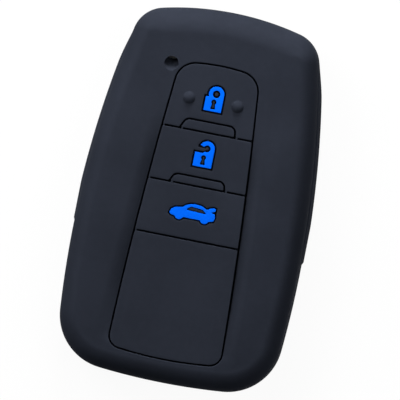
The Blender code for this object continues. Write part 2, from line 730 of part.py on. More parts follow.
def open_padlock(base):
    """Outline of an open padlock, whose shackle stands on its right leg, and its keyhole."""
    body_top = base + PADLOCK_HEIGHT
    eye = (PADLOCK_HALF_WIDTH - SHACKLE_RADIUS, body_top + OPEN_SHACKLE_RISE)
    outer = circle(eye, SHACKLE_RADIUS, 0, OPEN_SHACKLE_END, ARC_STEPS, closed=False)
    inner = circle(eye, OPEN_EYE_RADIUS, OPEN_SHACKLE_END, 0, ARC_STEPS, closed=False)
    leg = [(eye[0] + OPEN_EYE_RADIUS, body_top)]
    corners = [(-PADLOCK_HALF_WIDTH, body_top), (-PADLOCK_HALF_WIDTH, base), (PADLOCK_HALF_WIDTH, base)]
    return [np.concatenate([outer, inner, leg, corners]), keyhole(base)]


def car_with_open_boot(base):
    """Outline of a car that faces left with its boot lid up, and its window."""

    def placed(shares):
        x_share, y_share = np.array(shares).T
        return np.column_stack([CAR_LENGTH * (x_share - 0.5), base + CAR_HEIGHT * y_share])

    sill = base + CAR_HEIGHT * CAR_SILL_SHARE
    wheels = []
    for share in CAR_WHEEL_SHARES:
        centre = (CAR_LENGTH * (share - 0.5), base + CAR_WHEEL_RADIUS)
        start = math.pi + math.asin((centre[1] - sill) / CAR_WHEEL_RADIUS)
        end = 2 * math.pi - math.asin((centre[1] - sill) / CAR_WHEEL_RADIUS)
        wheels.append(circle(centre, CAR_WHEEL_RADIUS, start, end, ARC_STEPS // 2, closed=False))
    shape = rounded(placed(CAR_TAIL_TO_NOSE_SHARES), CAR_CORNER_RADIUS)
    outline = np.concatenate([shape, *wheels])
    return [outline, rounded(placed(CAR_WINDOW_SHARES), CAR_CORNER_RADIUS)]


def add_symbol(name, button, loops):
    """Sinks a pocket with islands into a button, and lays the coloured symbol in it."""
    loops = [loop + np.array([SYMBOL_SHIFT, 0]) for loop in loops]
    edge, *islands = loops
    floor = PANEL_LEVEL - POCKET_DEPTH
    origin = button.location
    cutter = plate(f"{name}_pocket", loops, floor, PANEL_LEVEL + CUT_OVERRUN, origin=origin)
    combine(button, cutter, "DIFFERENCE")
    fill = [grown(edge, -SYMBOL_SIDE_GAP)] + [grown(island, SYMBOL_SIDE_GAP) for island in islands]
    blue = silicone(f"{name}_blue", BLUE)
    symbol = plate(name, fill, floor + SYMBOL_SEAT_GAP, PANEL_LEVEL - SYMBOL_RECESS, blue, origin)
    symbol.parent = button
    symbol.location = (0, 0, 0)


def main():
    for item in list(bpy.data.objects):
        bpy.data.objects.remove(item)
    panel = panel_outline()
    make_sleeve()
    make_lower_panel(panel)
    make_divider("upper_divider", panel, UPPER_LINE)
    make_divider("lower_divider", panel, LOWER_LINE)
    lock = make_button("lock_button", panel, UPPER_LINE, None, notched=True)
    unlock = make_button("unlock_button", panel, LOWER_LINE, UPPER_LINE, notched=True)
    trunk = make_button("trunk_button", panel, PANEL_LINE, LOWER_LINE, notched=False)
    add_domes(lock)
    add_symbol("lock_symbol", lock, closed_padlock(UPPER_LINE + LOCK_SYMBOL_RISE))
    add_symbol("unlock_symbol", unlock, open_padlock(LOWER_LINE + UNLOCK_SYMBOL_RISE))
    add_symbol("trunk_symbol", trunk, car_with_open_boot(PANEL_LINE + TRUNK_SYMBOL_RISE))


main()
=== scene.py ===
"""Looks of a soft silicone car key cover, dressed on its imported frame.

The cover lies on its open back with its face up: X runs across it, Y along it towards
the lock button and Z out of the face. All sizes are in metres. Every piece is a closed
surface worked out as whole arrays: walls are profiles carried round an outline, and
sheets fill the flat parts between those walls.
"""

from __future__ import annotations

import logging
import math
from collections.abc import Callable, Sequence
from dataclasses import dataclass, field
from enum import Enum
from functools import cached_property

import bmesh
import bpy
import numpy as np
from mathutils import Matrix, Vector
from mathutils.geometry import delaunay_2d_cdt


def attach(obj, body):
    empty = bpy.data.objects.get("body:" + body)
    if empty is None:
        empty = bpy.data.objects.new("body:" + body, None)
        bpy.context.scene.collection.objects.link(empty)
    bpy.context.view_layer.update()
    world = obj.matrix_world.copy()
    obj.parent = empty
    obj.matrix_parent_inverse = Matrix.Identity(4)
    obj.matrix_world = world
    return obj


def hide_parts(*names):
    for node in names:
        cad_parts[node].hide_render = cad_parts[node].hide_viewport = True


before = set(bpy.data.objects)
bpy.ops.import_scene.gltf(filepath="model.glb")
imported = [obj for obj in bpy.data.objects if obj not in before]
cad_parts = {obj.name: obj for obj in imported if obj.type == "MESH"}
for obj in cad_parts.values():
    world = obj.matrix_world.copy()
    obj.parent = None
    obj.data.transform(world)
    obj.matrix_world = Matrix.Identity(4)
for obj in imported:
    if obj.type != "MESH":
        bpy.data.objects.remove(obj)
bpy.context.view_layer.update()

MM = 0.001
LOG = logging.getLogger("car_key_cover")

WELD = 0.0005 * MM  # points nearer than this are one point
ON_MIDDLE = 0.001 * MM  # points nearer than this to X = 0 lie on it
CREASE = math.radians(38)  # edges that turn by more stay sharp
LEAST_TURN = math.radians(20)  # a corner of an outline turns by more
CORNER_ROOM = 0.48  # the most of an edge that the arc at either of its ends takes up
LATTICE_ROOM = 0.45  # how far inner points keep from the edges, in shares of their spacing
SAME_PLACE = 1e-5  # how near points are one point to the triangulation, in millimetres
LEAST_SQUARE = 1e-14  # the least square of an edge's length that a bend is worked out with
MOST_BEND = 3  # bends are clipped to this either way
EDGE_STEPS = 5  # steps of a slab's rounded edges
MIRROR = np.array([-1, 1])  # trades left for right in a plan
BEND = "bend"  # the attribute that says how the surface bends

Array = np.ndarray
Pair = tuple[float, float]


class Body(Enum):
    """The bodies that pieces ride on."""

    COVER = "cover"
    LOCK = "lock_key"
    UNLOCK = "unlock_key"
    TRUNK = "trunk_key"


class Slot(Enum):
    """The record's material slots."""

    BLACK = "black_silicone"
    BLUE = "blue_silicone"


class Merge(Enum):
    """What meshes do to another one."""

    CUT = "DIFFERENCE"
    JOIN = "UNION"


class Calc(Enum):
    """What a Math node does with its two values."""

    ADD = "ADD"
    SUBTRACT = "SUBTRACT"
    MULTIPLY = "MULTIPLY"
    MAXIMUM = "MAXIMUM"


# Curves and loops


def smooth_step(value: Array | float) -> Array:
    """Rises from 0 to 1 with flat ends, as t squared times (3 - 2t) of the clipped value."""
    t = np.clip(value, 0.0, 1.0)
    return t * t * (3 - 2 * t)


def quarter(steps: int) -> tuple[Array, Array]:
    """Columns of the sines and cosines of a quarter turn in equal steps.

    Args:
        steps: How many steps the quarter turn has.

    Returns:
        Two arrays of the shape (steps + 1, 1), ready to spread over the stations of a loop.
    """
    angle = np.linspace(0, math.pi / 2, steps + 1)[:, None]
    return np.sin(angle), np.cos(angle)


def rounding(radius: float, steps: int) -> Array:
    """Insets and drops along a rounded edge, from its face to its wall.

    They are one less the sine and one less the cosine of a quarter turn, times the radius.
    The two traded for one another run along the same quarter from the wall to the face.

    Args:
        radius: Radius of the edge.
        steps: How many steps it has.

    Returns:
        Rows of an inset and a drop.
    """
    return radius * (1 - np.hstack(quarter(steps)))


def at_height(plan: Array, height: Array | float) -> Array:
    """Plan points, in any number of rings, lifted to heights that may differ between them."""
    heights = np.broadcast_to(height, plan.shape[:-1])
    return np.concatenate([plan, heights[..., None]], axis=-1)


def between(first: Array, last: Array, steps: int) -> Array:
    """Rings spaced evenly between two rings, without the two themselves."""
    share = np.linspace(0, 1, steps + 1)[1:-1, None, None]
    return first + (last - first) * share


def bearing(start: Array, end: Array) -> float:
    """The direction from one point of the plan to another."""
    return math.atan2(end[1] - start[1], end[0] - start[0])


def arc(centre: Pair, radius: float, start: float, end: float, steps: int) -> Array:
    """Points along an arc, both ends included, at the centre plus the radius along each bearing."""
    angle = np.linspace(start, end, steps + 1)
    return np.asarray(centre) + radius * np.column_stack([np.cos(angle), np.sin(angle)])


def circle(centre: Pair, radius: float, sides: int) -> Array:
    """Points round a whole circle, anticlockwise."""
    return arc(centre, radius, 0, 2 * math.pi, sides)[:-1]


def mirrored(right_half: Array) -> Array:
    """A closed loop from its right half, which runs from the bottom up to the middle line."""
    return joined(right_half, right_half)


def joined(right_half: Array, left_half: Array) -> Array:
    """A closed loop from two halves, both given as if they were the right one.

    Args:
        right_half: Points from the bottom up.
        left_half: Points from the bottom up, still to be mirrored. Those on the middle line
            are left out, because the right half has them.

    Returns:
        The points of the loop, anticlockwise.
    """
    left = left_half[::-1] * MIRROR
    return np.concatenate([right_half, left[np.abs(left[:, 0]) > ON_MIDDLE]])


def offset(loop: Array, distance: float) -> Array:
    """An anticlockwise loop moved outwards, each point along the mean of its edges' normals.

    Args:
        loop: Points of the loop.
        distance: How far the edges move; less than zero moves them inwards.

    Returns:
        As many points as the loop has.
    """
    ahead = np.roll(loop, -1, axis=0) - loop
    ahead /= np.linalg.norm(ahead, axis=1, keepdims=True)
    normal = np.column_stack([ahead[:, 1], -ahead[:, 0]])
    together = normal + np.roll(normal, 1, axis=0)
    lean = np.sum(together * normal, axis=1, keepdims=True)
    return loop + distance * together / lean


def softened(loop: Array, radius: float, steps: int = 6, least_turn: float = LEAST_TURN) -> Array:
    """A loop whose sharp corners become curves; the points along its own curves stay.

    Each curve is a parabola that touches both edges of its corner, at the radius over the
    tangent of half the angle between them, or nearly half way along the shorter edge where
    that is less.

    Args:
        loop: Points of the loop.
        radius: Radius that the curves stand for.
        steps: Steps of each curve.
        least_turn: A corner turns by more than this.

    Returns:
        The points of the softened loop.
    """
    to_last = np.roll(loop, 1, axis=0) - loop
    to_next = np.roll(loop, -1, axis=0) - loop
    last_length, next_length = np.linalg.norm(to_last, axis=1), np.linalg.norm(to_next, axis=1)
    to_last, to_next = to_last / last_length[:, None], to_next / next_length[:, None]
    inner_angle = np.arccos(np.clip(np.sum(to_last * to_next, axis=1), -1, 1))
    room = np.minimum(last_length, next_length) * CORNER_ROOM
    share = np.linspace(0, 1, steps + 1)[:, None]
    pieces = []
    for place in range(len(loop)):
        if math.pi - inner_angle[place] < least_turn:
            pieces.append(loop[place : place + 1])
            continue
        reach = min(radius / math.tan(inner_angle[place] / 2), room[place])
        start = loop[place] + reach * to_last[place]
        end = loop[place] + reach * to_next[place]
        pull = 2 * share * (1 - share) * loop[place]
        pieces.append((1 - share) ** 2 * start + pull + share**2 * end)
    return np.concatenate(pieces)


def edge_distance(points: Array, loop: Array) -> Array:
    """How far each point lies from the nearest edge of a loop.

    On each edge the nearest place is the point's share along it, clipped to between 0 and 1.

    Args:
        points: Points of the plan.
        loop: Points of the loop.

    Returns:
        One distance for each point.
    """
    along = np.roll(loop, -1, axis=0) - loop
    from_start = points[:, None] - loop
    share = np.sum(from_start * along, axis=2) / np.sum(along**2, axis=1)
    to_edge = from_start - np.clip(share, 0, 1)[..., None] * along
    return np.min(np.linalg.norm(to_edge, axis=2), axis=1)


def inside(points: Array, loop: Array) -> Array:
    """Which points a loop surrounds: a ray from each one crosses the loop an odd number of times.

    Args:
        points: Points of the plan.
        loop: Points of the loop.

    Returns:
        True for each point inside.
    """
    x, y = points[:, :1], points[:, 1:]
    from_x, from_y = loop.T
    to_x, to_y = np.roll(loop, -1, axis=0).T
    spans = (from_y > y) != (to_y > y)
    rise = np.where(to_y == from_y, 1, to_y - from_y)
    crossing = from_x + (y - from_y) * (to_x - from_x) / rise
    return np.sum(spans & (x < crossing), axis=1) % 2 == 1


@dataclass(frozen=True)
class Spread:
    """How many steps each stretch of half an outline has."""

    ends: int = 14
    corners: int = 18
    sides: int = 84


@dataclass(frozen=True)
class Stations:
    """Places round an outline with their outward directions, so that an inset copy is exact."""

    points: Array
    directions: Array
    top_share: Array
    bottom_share: Array

    def ring(self, inset: Array | float) -> Array:
        """The outline moved inwards, once for each row of an array of insets."""
        return self.points - np.asarray(inset, dtype=float)[..., None] * self.directions

    def blended(self, side: float, top: float, bottom: float) -> Array:
        """A value at each station that changes smoothly from the sides to the two ends."""
        return side + (top - side) * self.top_share + (bottom - side) * self.bottom_share


@dataclass(frozen=True)
class BowedOutline:
    """Bowed sides and ends joined by round corners, the same on both sides of X = 0."""

    top: float
    bottom: float
    half_width: float
    widest: float
    side_radius: float
    top_radius: float
    bottom_radius: float
    top_corner: float
    bottom_corner: float

    @property
    def side_centre(self) -> Array:
        """Centre of the right side's arc."""
        return np.array([self.half_width - self.side_radius, self.widest])

    @property
    def top_centre(self) -> Array:
        """Centre of the top end's arc."""
        return np.array([0, self.top - self.top_radius])

    @property
    def bottom_centre(self) -> Array:
        """Centre of the bottom end's arc."""
        return np.array([0, self.bottom + self.bottom_radius])

    @staticmethod
    def _touching(side: Array, side_radius: float, end: Array, end_radius: float, corner: float) -> Array:
        """Centre of the corner arc that touches a side and an upper end from inside.

        It lies where two circles cross: the side's and the end's, each shrunk by the corner.

        Args:
            side: Centre of the side's arc.
            side_radius: Its radius.
            end: Centre of the end's arc.
            end_radius: Its radius.
            corner: Radius of the corner.

        Returns:
            The centre.
        """
        apart = np.linalg.norm(end - side)
        along = (end - side) / apart
        first, second = side_radius - corner, end_radius - corner
        reach = (first**2 - second**2 + apart**2) / (2 * apart)
        height = math.sqrt(first**2 - reach**2)
        return side + along * reach + np.array([-along[1], along[0]]) * height

    @property
    def top_corner_centre(self) -> Array:
        """Centre of the right top corner's arc."""
        side, end = self.side_centre, self.top_centre
        return self._touching(side, self.side_radius, end, self.top_radius, self.top_corner)

    @property
    def bottom_corner_centre(self) -> Array:
        """Centre of the right bottom corner's arc, found upside down."""
        side, end = -MIRROR * self.side_centre, -MIRROR * self.bottom_centre
        return -MIRROR * self._touching(
            side, self.side_radius, end, self.bottom_radius, self.bottom_corner
        )

    def side_x(self, y: Array | float, inset: float) -> Array:
        """X of the right side, moved inwards, at places along the cover."""
        x, level = self.side_centre
        return x + np.sqrt((self.side_radius - inset) ** 2 - (np.asarray(y) - level) ** 2)

    def stations(self, spread: Spread, side_shares: Array | None = None) -> Stations:
        """Stations round the whole outline, from the bottom's middle anticlockwise.

        Args:
            spread: Steps of each stretch.
            side_shares: Where the stations along a side lie, in place of even steps.

        Returns:
            The stations; a corner's shares of the two ends rise smoothly through it.
        """
        low, high = self.bottom_corner_centre, self.top_corner_centre
        turns = [
            -math.pi / 2, bearing(self.bottom_centre, low), bearing(self.side_centre, low),
            bearing(self.side_centre, high), bearing(self.top_centre, high), math.pi / 2,
        ]
        sides = np.linspace(0, 1, spread.sides + 1) if side_shares is None else side_shares
        ends, corners = np.linspace(0, 1, spread.ends + 1), np.linspace(0, 1, spread.corners + 1)[:-1]
        stretches = (
            (self.bottom_centre, self.bottom_radius, ends[:-1], np.ones(spread.ends), 0),
            (low, self.bottom_corner, corners, 1 - smooth_step(corners), 0),
            (self.side_centre, self.side_radius, sides[:-1], np.zeros(len(sides) - 1), 0),
            (high, self.top_corner, corners, smooth_step(corners), 1),
            (self.top_centre, self.top_radius, ends, np.ones(spread.ends + 1), 1),
        )
        points, directions, shares = [], [], ([], [])
        for (centre, radius, steps, share, end), start, finish in zip(stretches, turns, turns[1:]):
            angle = start + (finish - start) * steps
            direction = np.column_stack([np.cos(angle), np.sin(angle)])
            points.append(centre + radius * direction)
            directions.append(direction)
            shares[end].append(share)
            shares[1 - end].append(np.zeros(len(share)))
        half, ways = np.concatenate(points), np.concatenate(directions)
        bottom, top = (np.concatenate(parts) for parts in shares)
        return Stations(
            points=np.concatenate([half, half[-2:0:-1] * MIRROR]),
            directions=np.concatenate([ways, ways[-2:0:-1] * MIRROR]),
            top_share=np.concatenate([top, top[-2:0:-1]]),
            bottom_share=np.concatenate([bottom, bottom[-2:0:-1]]),
        )


# Meshes


@dataclass(frozen=True)
class Layer:
    """Heights of a slab's faces, radii of their edges, and how far apart their inner points are."""

    low: float
    high: float
    top_round: float
    low_round: float
    spacing: float = 0.8 * MM


class Surface:
    """Walls and sheets gathered into one closed mesh."""

    def __init__(self, bent: Callable[[Array], Array] | None = None) -> None:
        """Starts with no points and no faces.

        Args:
            bent: Moves all points once they are gathered, as the crown does.
        """
        self._bent = bent or (lambda points: points)
        self._points: list[Array] = []
        self._faces: list[list[int]] = []
        self._count = 0

    def _add(self, points: Array, faces: Array) -> None:
        """Appends points and faces.

        Args:
            points: Points of the shape (n, 3).
            faces: The corners of each face, counted from the first of these points.
        """
        self._points.append(points)
        self._faces.extend((faces + self._count).tolist())
        self._count += len(points)

    def wall(self, rings: Array, closed: bool = False) -> None:
        """Skins rings with quads: a profile carried round a loop.

        Args:
            rings: Points of the shape (rings, stations, 3).
            closed: Whether the last ring joins the first.
        """
        rows, stations = rings.shape[:2]
        index = np.arange(rows * stations).reshape(rows, stations)
        upper = np.roll(index, -1, axis=0)
        if not closed:
            index, upper = index[:-1], upper[:-1]
        corners = (index, np.roll(index, -1, axis=1), np.roll(upper, -1, axis=1), upper)
        self._add(rings.reshape(-1, 3), np.stack(corners, axis=-1).reshape(-1, 4))

    def cap(self, ring: Array, centre: Array) -> None:
        """Closes a small ring with a fan of triangles.

        Args:
            ring: Points of the ring.
            centre: Where the triangles meet.
        """
        index = np.arange(len(ring))
        middle = np.full(len(ring), len(ring))
        self._add(np.vstack([ring, centre]), np.column_stack([index, np.roll(index, -1), middle]))

    def sheet(self, outer: Array, holes: Sequence[Array], height: float, spacing: float) -> None:
        """Fills the part of the plan between loops with level triangles.

        Inner points lie on a staggered lattice. A triangle stays where its middle is inside
        the outer loop and in no hole. The loops' own points are kept, so walls join on.

        Args:
            outer: The loop round the sheet.
            holes: Loops inside it that the sheet leaves open.
            height: Height of the sheet.
            spacing: Distance between the lattice's points.
        """
        loops = [outer, *holes]
        low, high = outer.min(axis=0), outer.max(axis=0)
        columns = np.arange(low[0], high[0], spacing)
        rows = np.arange(low[1], high[1], spacing * math.sqrt(3) / 2)
        x, y = np.meshgrid(columns, rows)
        x = x + np.where(np.arange(len(rows)) % 2, spacing / 2, 0)[:, None]
        lattice = np.column_stack([x.ravel(), y.ravel()])
        lattice = lattice[self._within(lattice, loops)]
        apart = np.min([edge_distance(lattice, loop) for loop in loops], axis=0)
        lattice = lattice[apart > spacing * LATTICE_ROOM]

        edges, start = [], 0
        for loop in loops:
            index = np.arange(start, start + len(loop))
            edges.append(np.column_stack([index, np.roll(index, -1)]))
            start += len(loop)
        plan = np.concatenate([*loops, lattice])
        given = [Vector(point) for point in (plan / MM).tolist()]
        points, _, triangles, origins, *_ = delaunay_2d_cdt(
            given, np.concatenate(edges).tolist(), [], 0, SAME_PLACE
        )
        kept = np.array([tuple(point) for point in points]) * MM
        source = np.array([first[0] if first else -1 for first in origins])
        kept[source >= 0] = plan[source[source >= 0]]
        triangles = np.array(triangles)
        middles = kept[triangles].mean(axis=1)
        self._add(at_height(kept, height), triangles[self._within(middles, loops)])

    @staticmethod
    def _within(points: Array, loops: Sequence[Array]) -> Array:
        """Which points are inside the first loop and outside all others.

        Args:
            points: Points of the plan.
            loops: The loops.

        Returns:
            True for each such point.
        """
        fits = inside(points, loops[0])
        for hole in loops[1:]:
            fits &= ~inside(points, hole)
        return fits

    def slab(self, outline: Array, layer: Layer, holes: Sequence[Array] = ()) -> None:
        """Adds a slab with rounded edges, each a quarter circle carried round its outline.

        Args:
            outline: Plan of the slab, anticlockwise.
            layer: Its heights and edges.
            holes: Loops that its top leaves open.
        """
        top, under = (
            [
                at_height(offset(outline, -inset), face - way * drop)
                for inset, drop in rounding(radius, EDGE_STEPS)
            ]
            for face, way, radius in (
                (layer.high, 1, layer.top_round), (layer.low, -1, layer.low_round),
            )
        )
        self.wall(np.stack([*top, *under[::-1]]))
        self.sheet(top[0][:, :2], holes, layer.high, layer.spacing)
        self.sheet(under[0][:, :2], (), layer.low, layer.spacing)

    def mesh(self, name: str) -> bpy.types.Mesh:
        """Makes the mesh, welded along its seams, with its faces pointing outwards.

        Args:
            name: Name of the mesh.

        Returns:
            The mesh, closed and shaded smooth but for its sharp edges.
        """
        mesh = bpy.data.meshes.new(name)
        mesh.from_pydata(self._bent(np.concatenate(self._points)).tolist(), [], self._faces)
        close(mesh)
        return mesh


def close(mesh: bpy.types.Mesh) -> None:
    """Welds a mesh, drops slivers, turns its faces outwards, shades it and reports open edges.

    Args:
        mesh: The mesh to finish.
    """
    bm = bmesh.new()
    bm.from_mesh(mesh)
    bmesh.ops.remove_doubles(bm, verts=bm.verts, dist=WELD)
    bmesh.ops.dissolve_degenerate(bm, edges=bm.edges, dist=WELD)
    bmesh.ops.recalc_face_normals(bm, faces=bm.faces)
    if bm.calc_volume(signed=True) < 0:
        bmesh.ops.reverse_faces(bm, faces=bm.faces)
    open_edges = sum(not edge.is_manifold for edge in bm.edges)
    if open_edges:
        LOG.warning("%s has %d open edges", mesh.name, open_edges)
    bm.to_mesh(mesh)
    bm.free()
    mesh.shade_smooth()
    mesh.set_sharp_from_angle(angle=CREASE)


def read_rows(items: bpy.types.bpy_prop_collection, name: str, width: int, kind: type) -> Array:
    """Reads a property of all points or edges of a mesh.

    Args:
        items: The points or edges.
        name: Name of the property.
        width: How many numbers it has.
        kind: What kind of number.

    Returns:
        One row for each item.
    """
    values = np.empty(len(items) * width, dtype=kind)
    items.foreach_get(name, values)
    return values.reshape(-1, width)


def point_means(values: Array, ends: tuple[Array, Array], points: int) -> Array:
    """The mean at each point of the values of its edges.

    Args:
        values: One value for each edge.
        ends: The points at which each edge starts and ends.
        points: How many points there are.

    Returns:
        One value for each point.
    """
    total, count = np.zeros(points), np.zeros(points)
    for end in ends:
        np.add.at(total, end, values)
        np.add.at(count, end, 1)
    return total / np.maximum(count, 1)


def mark_bends(mesh: bpy.types.Mesh, tightest: float = 0.3 * MM) -> None:
    """Writes how the surface bends at each point to an attribute.

    Along each edge the bend is the change of normal over the length, which is one over the
    radius, more than zero where the surface is convex. A point takes the mean of its edges,
    times the tightest radius, and then the mean of its neighbours once.

    Args:
        mesh: The mesh to mark.
        tightest: An edge of this radius has a bend of 1.
    """
    points = read_rows(mesh.vertices, "co", 3, np.float64)
    normals = read_rows(mesh.vertex_normals, "vector", 3, np.float32)
    first, second = read_rows(mesh.edges, "vertices", 2, np.int32).T
    along = points[second] - points[first]
    square = np.maximum(np.sum(along**2, axis=1), LEAST_SQUARE)
    turn = np.sum((normals[second] - normals[first]) * along, axis=1)
    bend = point_means(
        np.clip(turn / square * tightest, -MOST_BEND, MOST_BEND), (first, second), len(points)
    )
    around = point_means((bend[first] + bend[second]) / 2, (first, second), len(points))
    attribute = mesh.attributes.new(BEND, "FLOAT", "POINT")
    attribute.data.foreach_set("value", ((bend + around) / 2).astype(np.float32))


def new_object(name: str, data: bpy.types.ID) -> bpy.types.Object:
    """Puts a mesh, lamp or camera into the scene.

    Args:
        name: Name of the object.
        data: The mesh, lamp or camera.

    Returns:
        The new object.
    """
    item = bpy.data.objects.new(name, data)
    bpy.context.scene.collection.objects.link(item)
    return item


def combined(target: bpy.types.Mesh, tools: Sequence[bpy.types.Mesh], merge: Merge) -> bpy.types.Mesh:
    """Cuts closed meshes out of another, or joins them to it, exactly.

    Args:
        target: The mesh to change.
        tools: The meshes to cut or join, one after another.
        merge: Whether they are cut or joined.

    Returns:
        The new mesh.
    """
    base = new_object(target.name, target)
    helpers = [new_object(tool.name, tool) for tool in tools]
    for helper in helpers:
        modifier = base.modifiers.new(helper.name, "BOOLEAN")
        modifier.operation = merge.value
        modifier.solver = "EXACT"
        modifier.object = helper
    evaluated = base.evaluated_get(bpy.context.evaluated_depsgraph_get())
    mesh = bpy.data.meshes.new_from_object(evaluated)
    for item in (base, *helpers):
        bpy.data.objects.remove(item)
    close(mesh)
    return mesh


# Finishes


class NodeTree:
    """Short ways to add and link shader nodes."""

    def __init__(self, owner: bpy.types.Material | bpy.types.World) -> None:
        """Empties a node tree.

        Args:
            owner: The material or world whose tree it is.
        """
        owner.use_nodes = True
        self.tree = owner.node_tree
        self.tree.nodes.clear()

    def add(self, kind: str, settings: dict | None = None, **inputs: object) -> bpy.types.Node:
        """Adds a node.

        Args:
            kind: The node's type without "ShaderNode".
            settings: Properties of the node by name.
            inputs: Values or sockets for its inputs, by name with _ for a space.

        Returns:
            The new node.
        """
        node = self.tree.nodes.new(f"ShaderNode{kind}")
        for name, value in (settings or {}).items():
            setattr(node, name, value)
        for name, value in inputs.items():
            self.feed(node.inputs[name.replace("_", " ")], value)
        return node

    def feed(self, socket: bpy.types.NodeSocket, value: object) -> None:
        """Links a socket to another socket, or sets it to a plain value.

        Args:
            socket: The input.
            value: The other socket or the value.
        """
        if isinstance(value, bpy.types.NodeSocket):
            self.tree.links.new(value, socket)
        else:
            socket.default_value = value

    def math(self, calc: Calc, first: object, second: object) -> object:
        """Adds a Math node.

        Args:
            calc: What it does.
            first: Its first value.
            second: Its second value.

        Returns:
            Its result.
        """
        node = self.add("Math", {"operation": calc.value})
        for socket, value in zip(node.inputs, (first, second)):
            self.feed(socket, value)
        return node.outputs[0]

    def product(self, first: object, second: object) -> object:
        """One value times another."""
        return self.math(Calc.MULTIPLY, first, second)

    def noise(self, place: object, size: float, detail: float = 2.0, roughness: float = 0.5) -> object:
        """Adds noise whose features are about a given size and returns its value."""
        node = self.add("TexNoise", Vector=place, Scale=1 / size, Detail=detail, Roughness=roughness)
        return node.outputs["Fac"]

    def ranged(self, value: object, given: Pair, wanted: Pair = (0, 1)) -> object:
        """Carries a value from one range to another, smoothly and within its ends.

        Args:
            value: The value.
            given: The range that it comes from.
            wanted: The range that it is carried to.

        Returns:
            The new value.
        """
        node = self.add("MapRange", {"interpolation_type": "SMOOTHSTEP"}, Value=value)
        for name, bound in zip(("From Min", "From Max", "To Min", "To Max"), (*given, *wanted)):
            node.inputs[name].default_value = bound
        return node.outputs["Result"]

    def mixed(self, share: object, first: object, second: object) -> object:
        """Mixes two colours.

        Args:
            share: How much of the second there is.
            first: One colour.
            second: The other colour.

        Returns:
            The mixed colour.
        """
        node = self.add("Mix", {"data_type": "RGBA"}, Factor=share, A=first, B=second)
        return node.outputs["Result"]

    def shaders_mixed(self, share: object, first: bpy.types.Node, second: bpy.types.Node) -> object:
        """Mixes what two shader nodes give.

        Args:
            share: How much of the second there is.
            first: One shader.
            second: The other shader.

        Returns:
            The mixed shader.
        """
        node = self.add("MixShader", Fac=share)
        self.feed(node.inputs[1], first.outputs[0])
        self.feed(node.inputs[2], second.outputs[0])
        return node.outputs[0]

    def finish(self, surface: object, kind: str = "OutputMaterial") -> None:
        """Links the finished surface to a new output node."""
        self.feed(self.add(kind).inputs["Surface"], surface)


def rgba(colour: tuple[float, float, float], scale: float = 1.0) -> tuple[float, float, float, float]:
    """A colour, made lighter or darker, with full opacity."""
    return (*(channel * scale for channel in colour), 1.0)


WHITE = rgba((1, 1, 1))


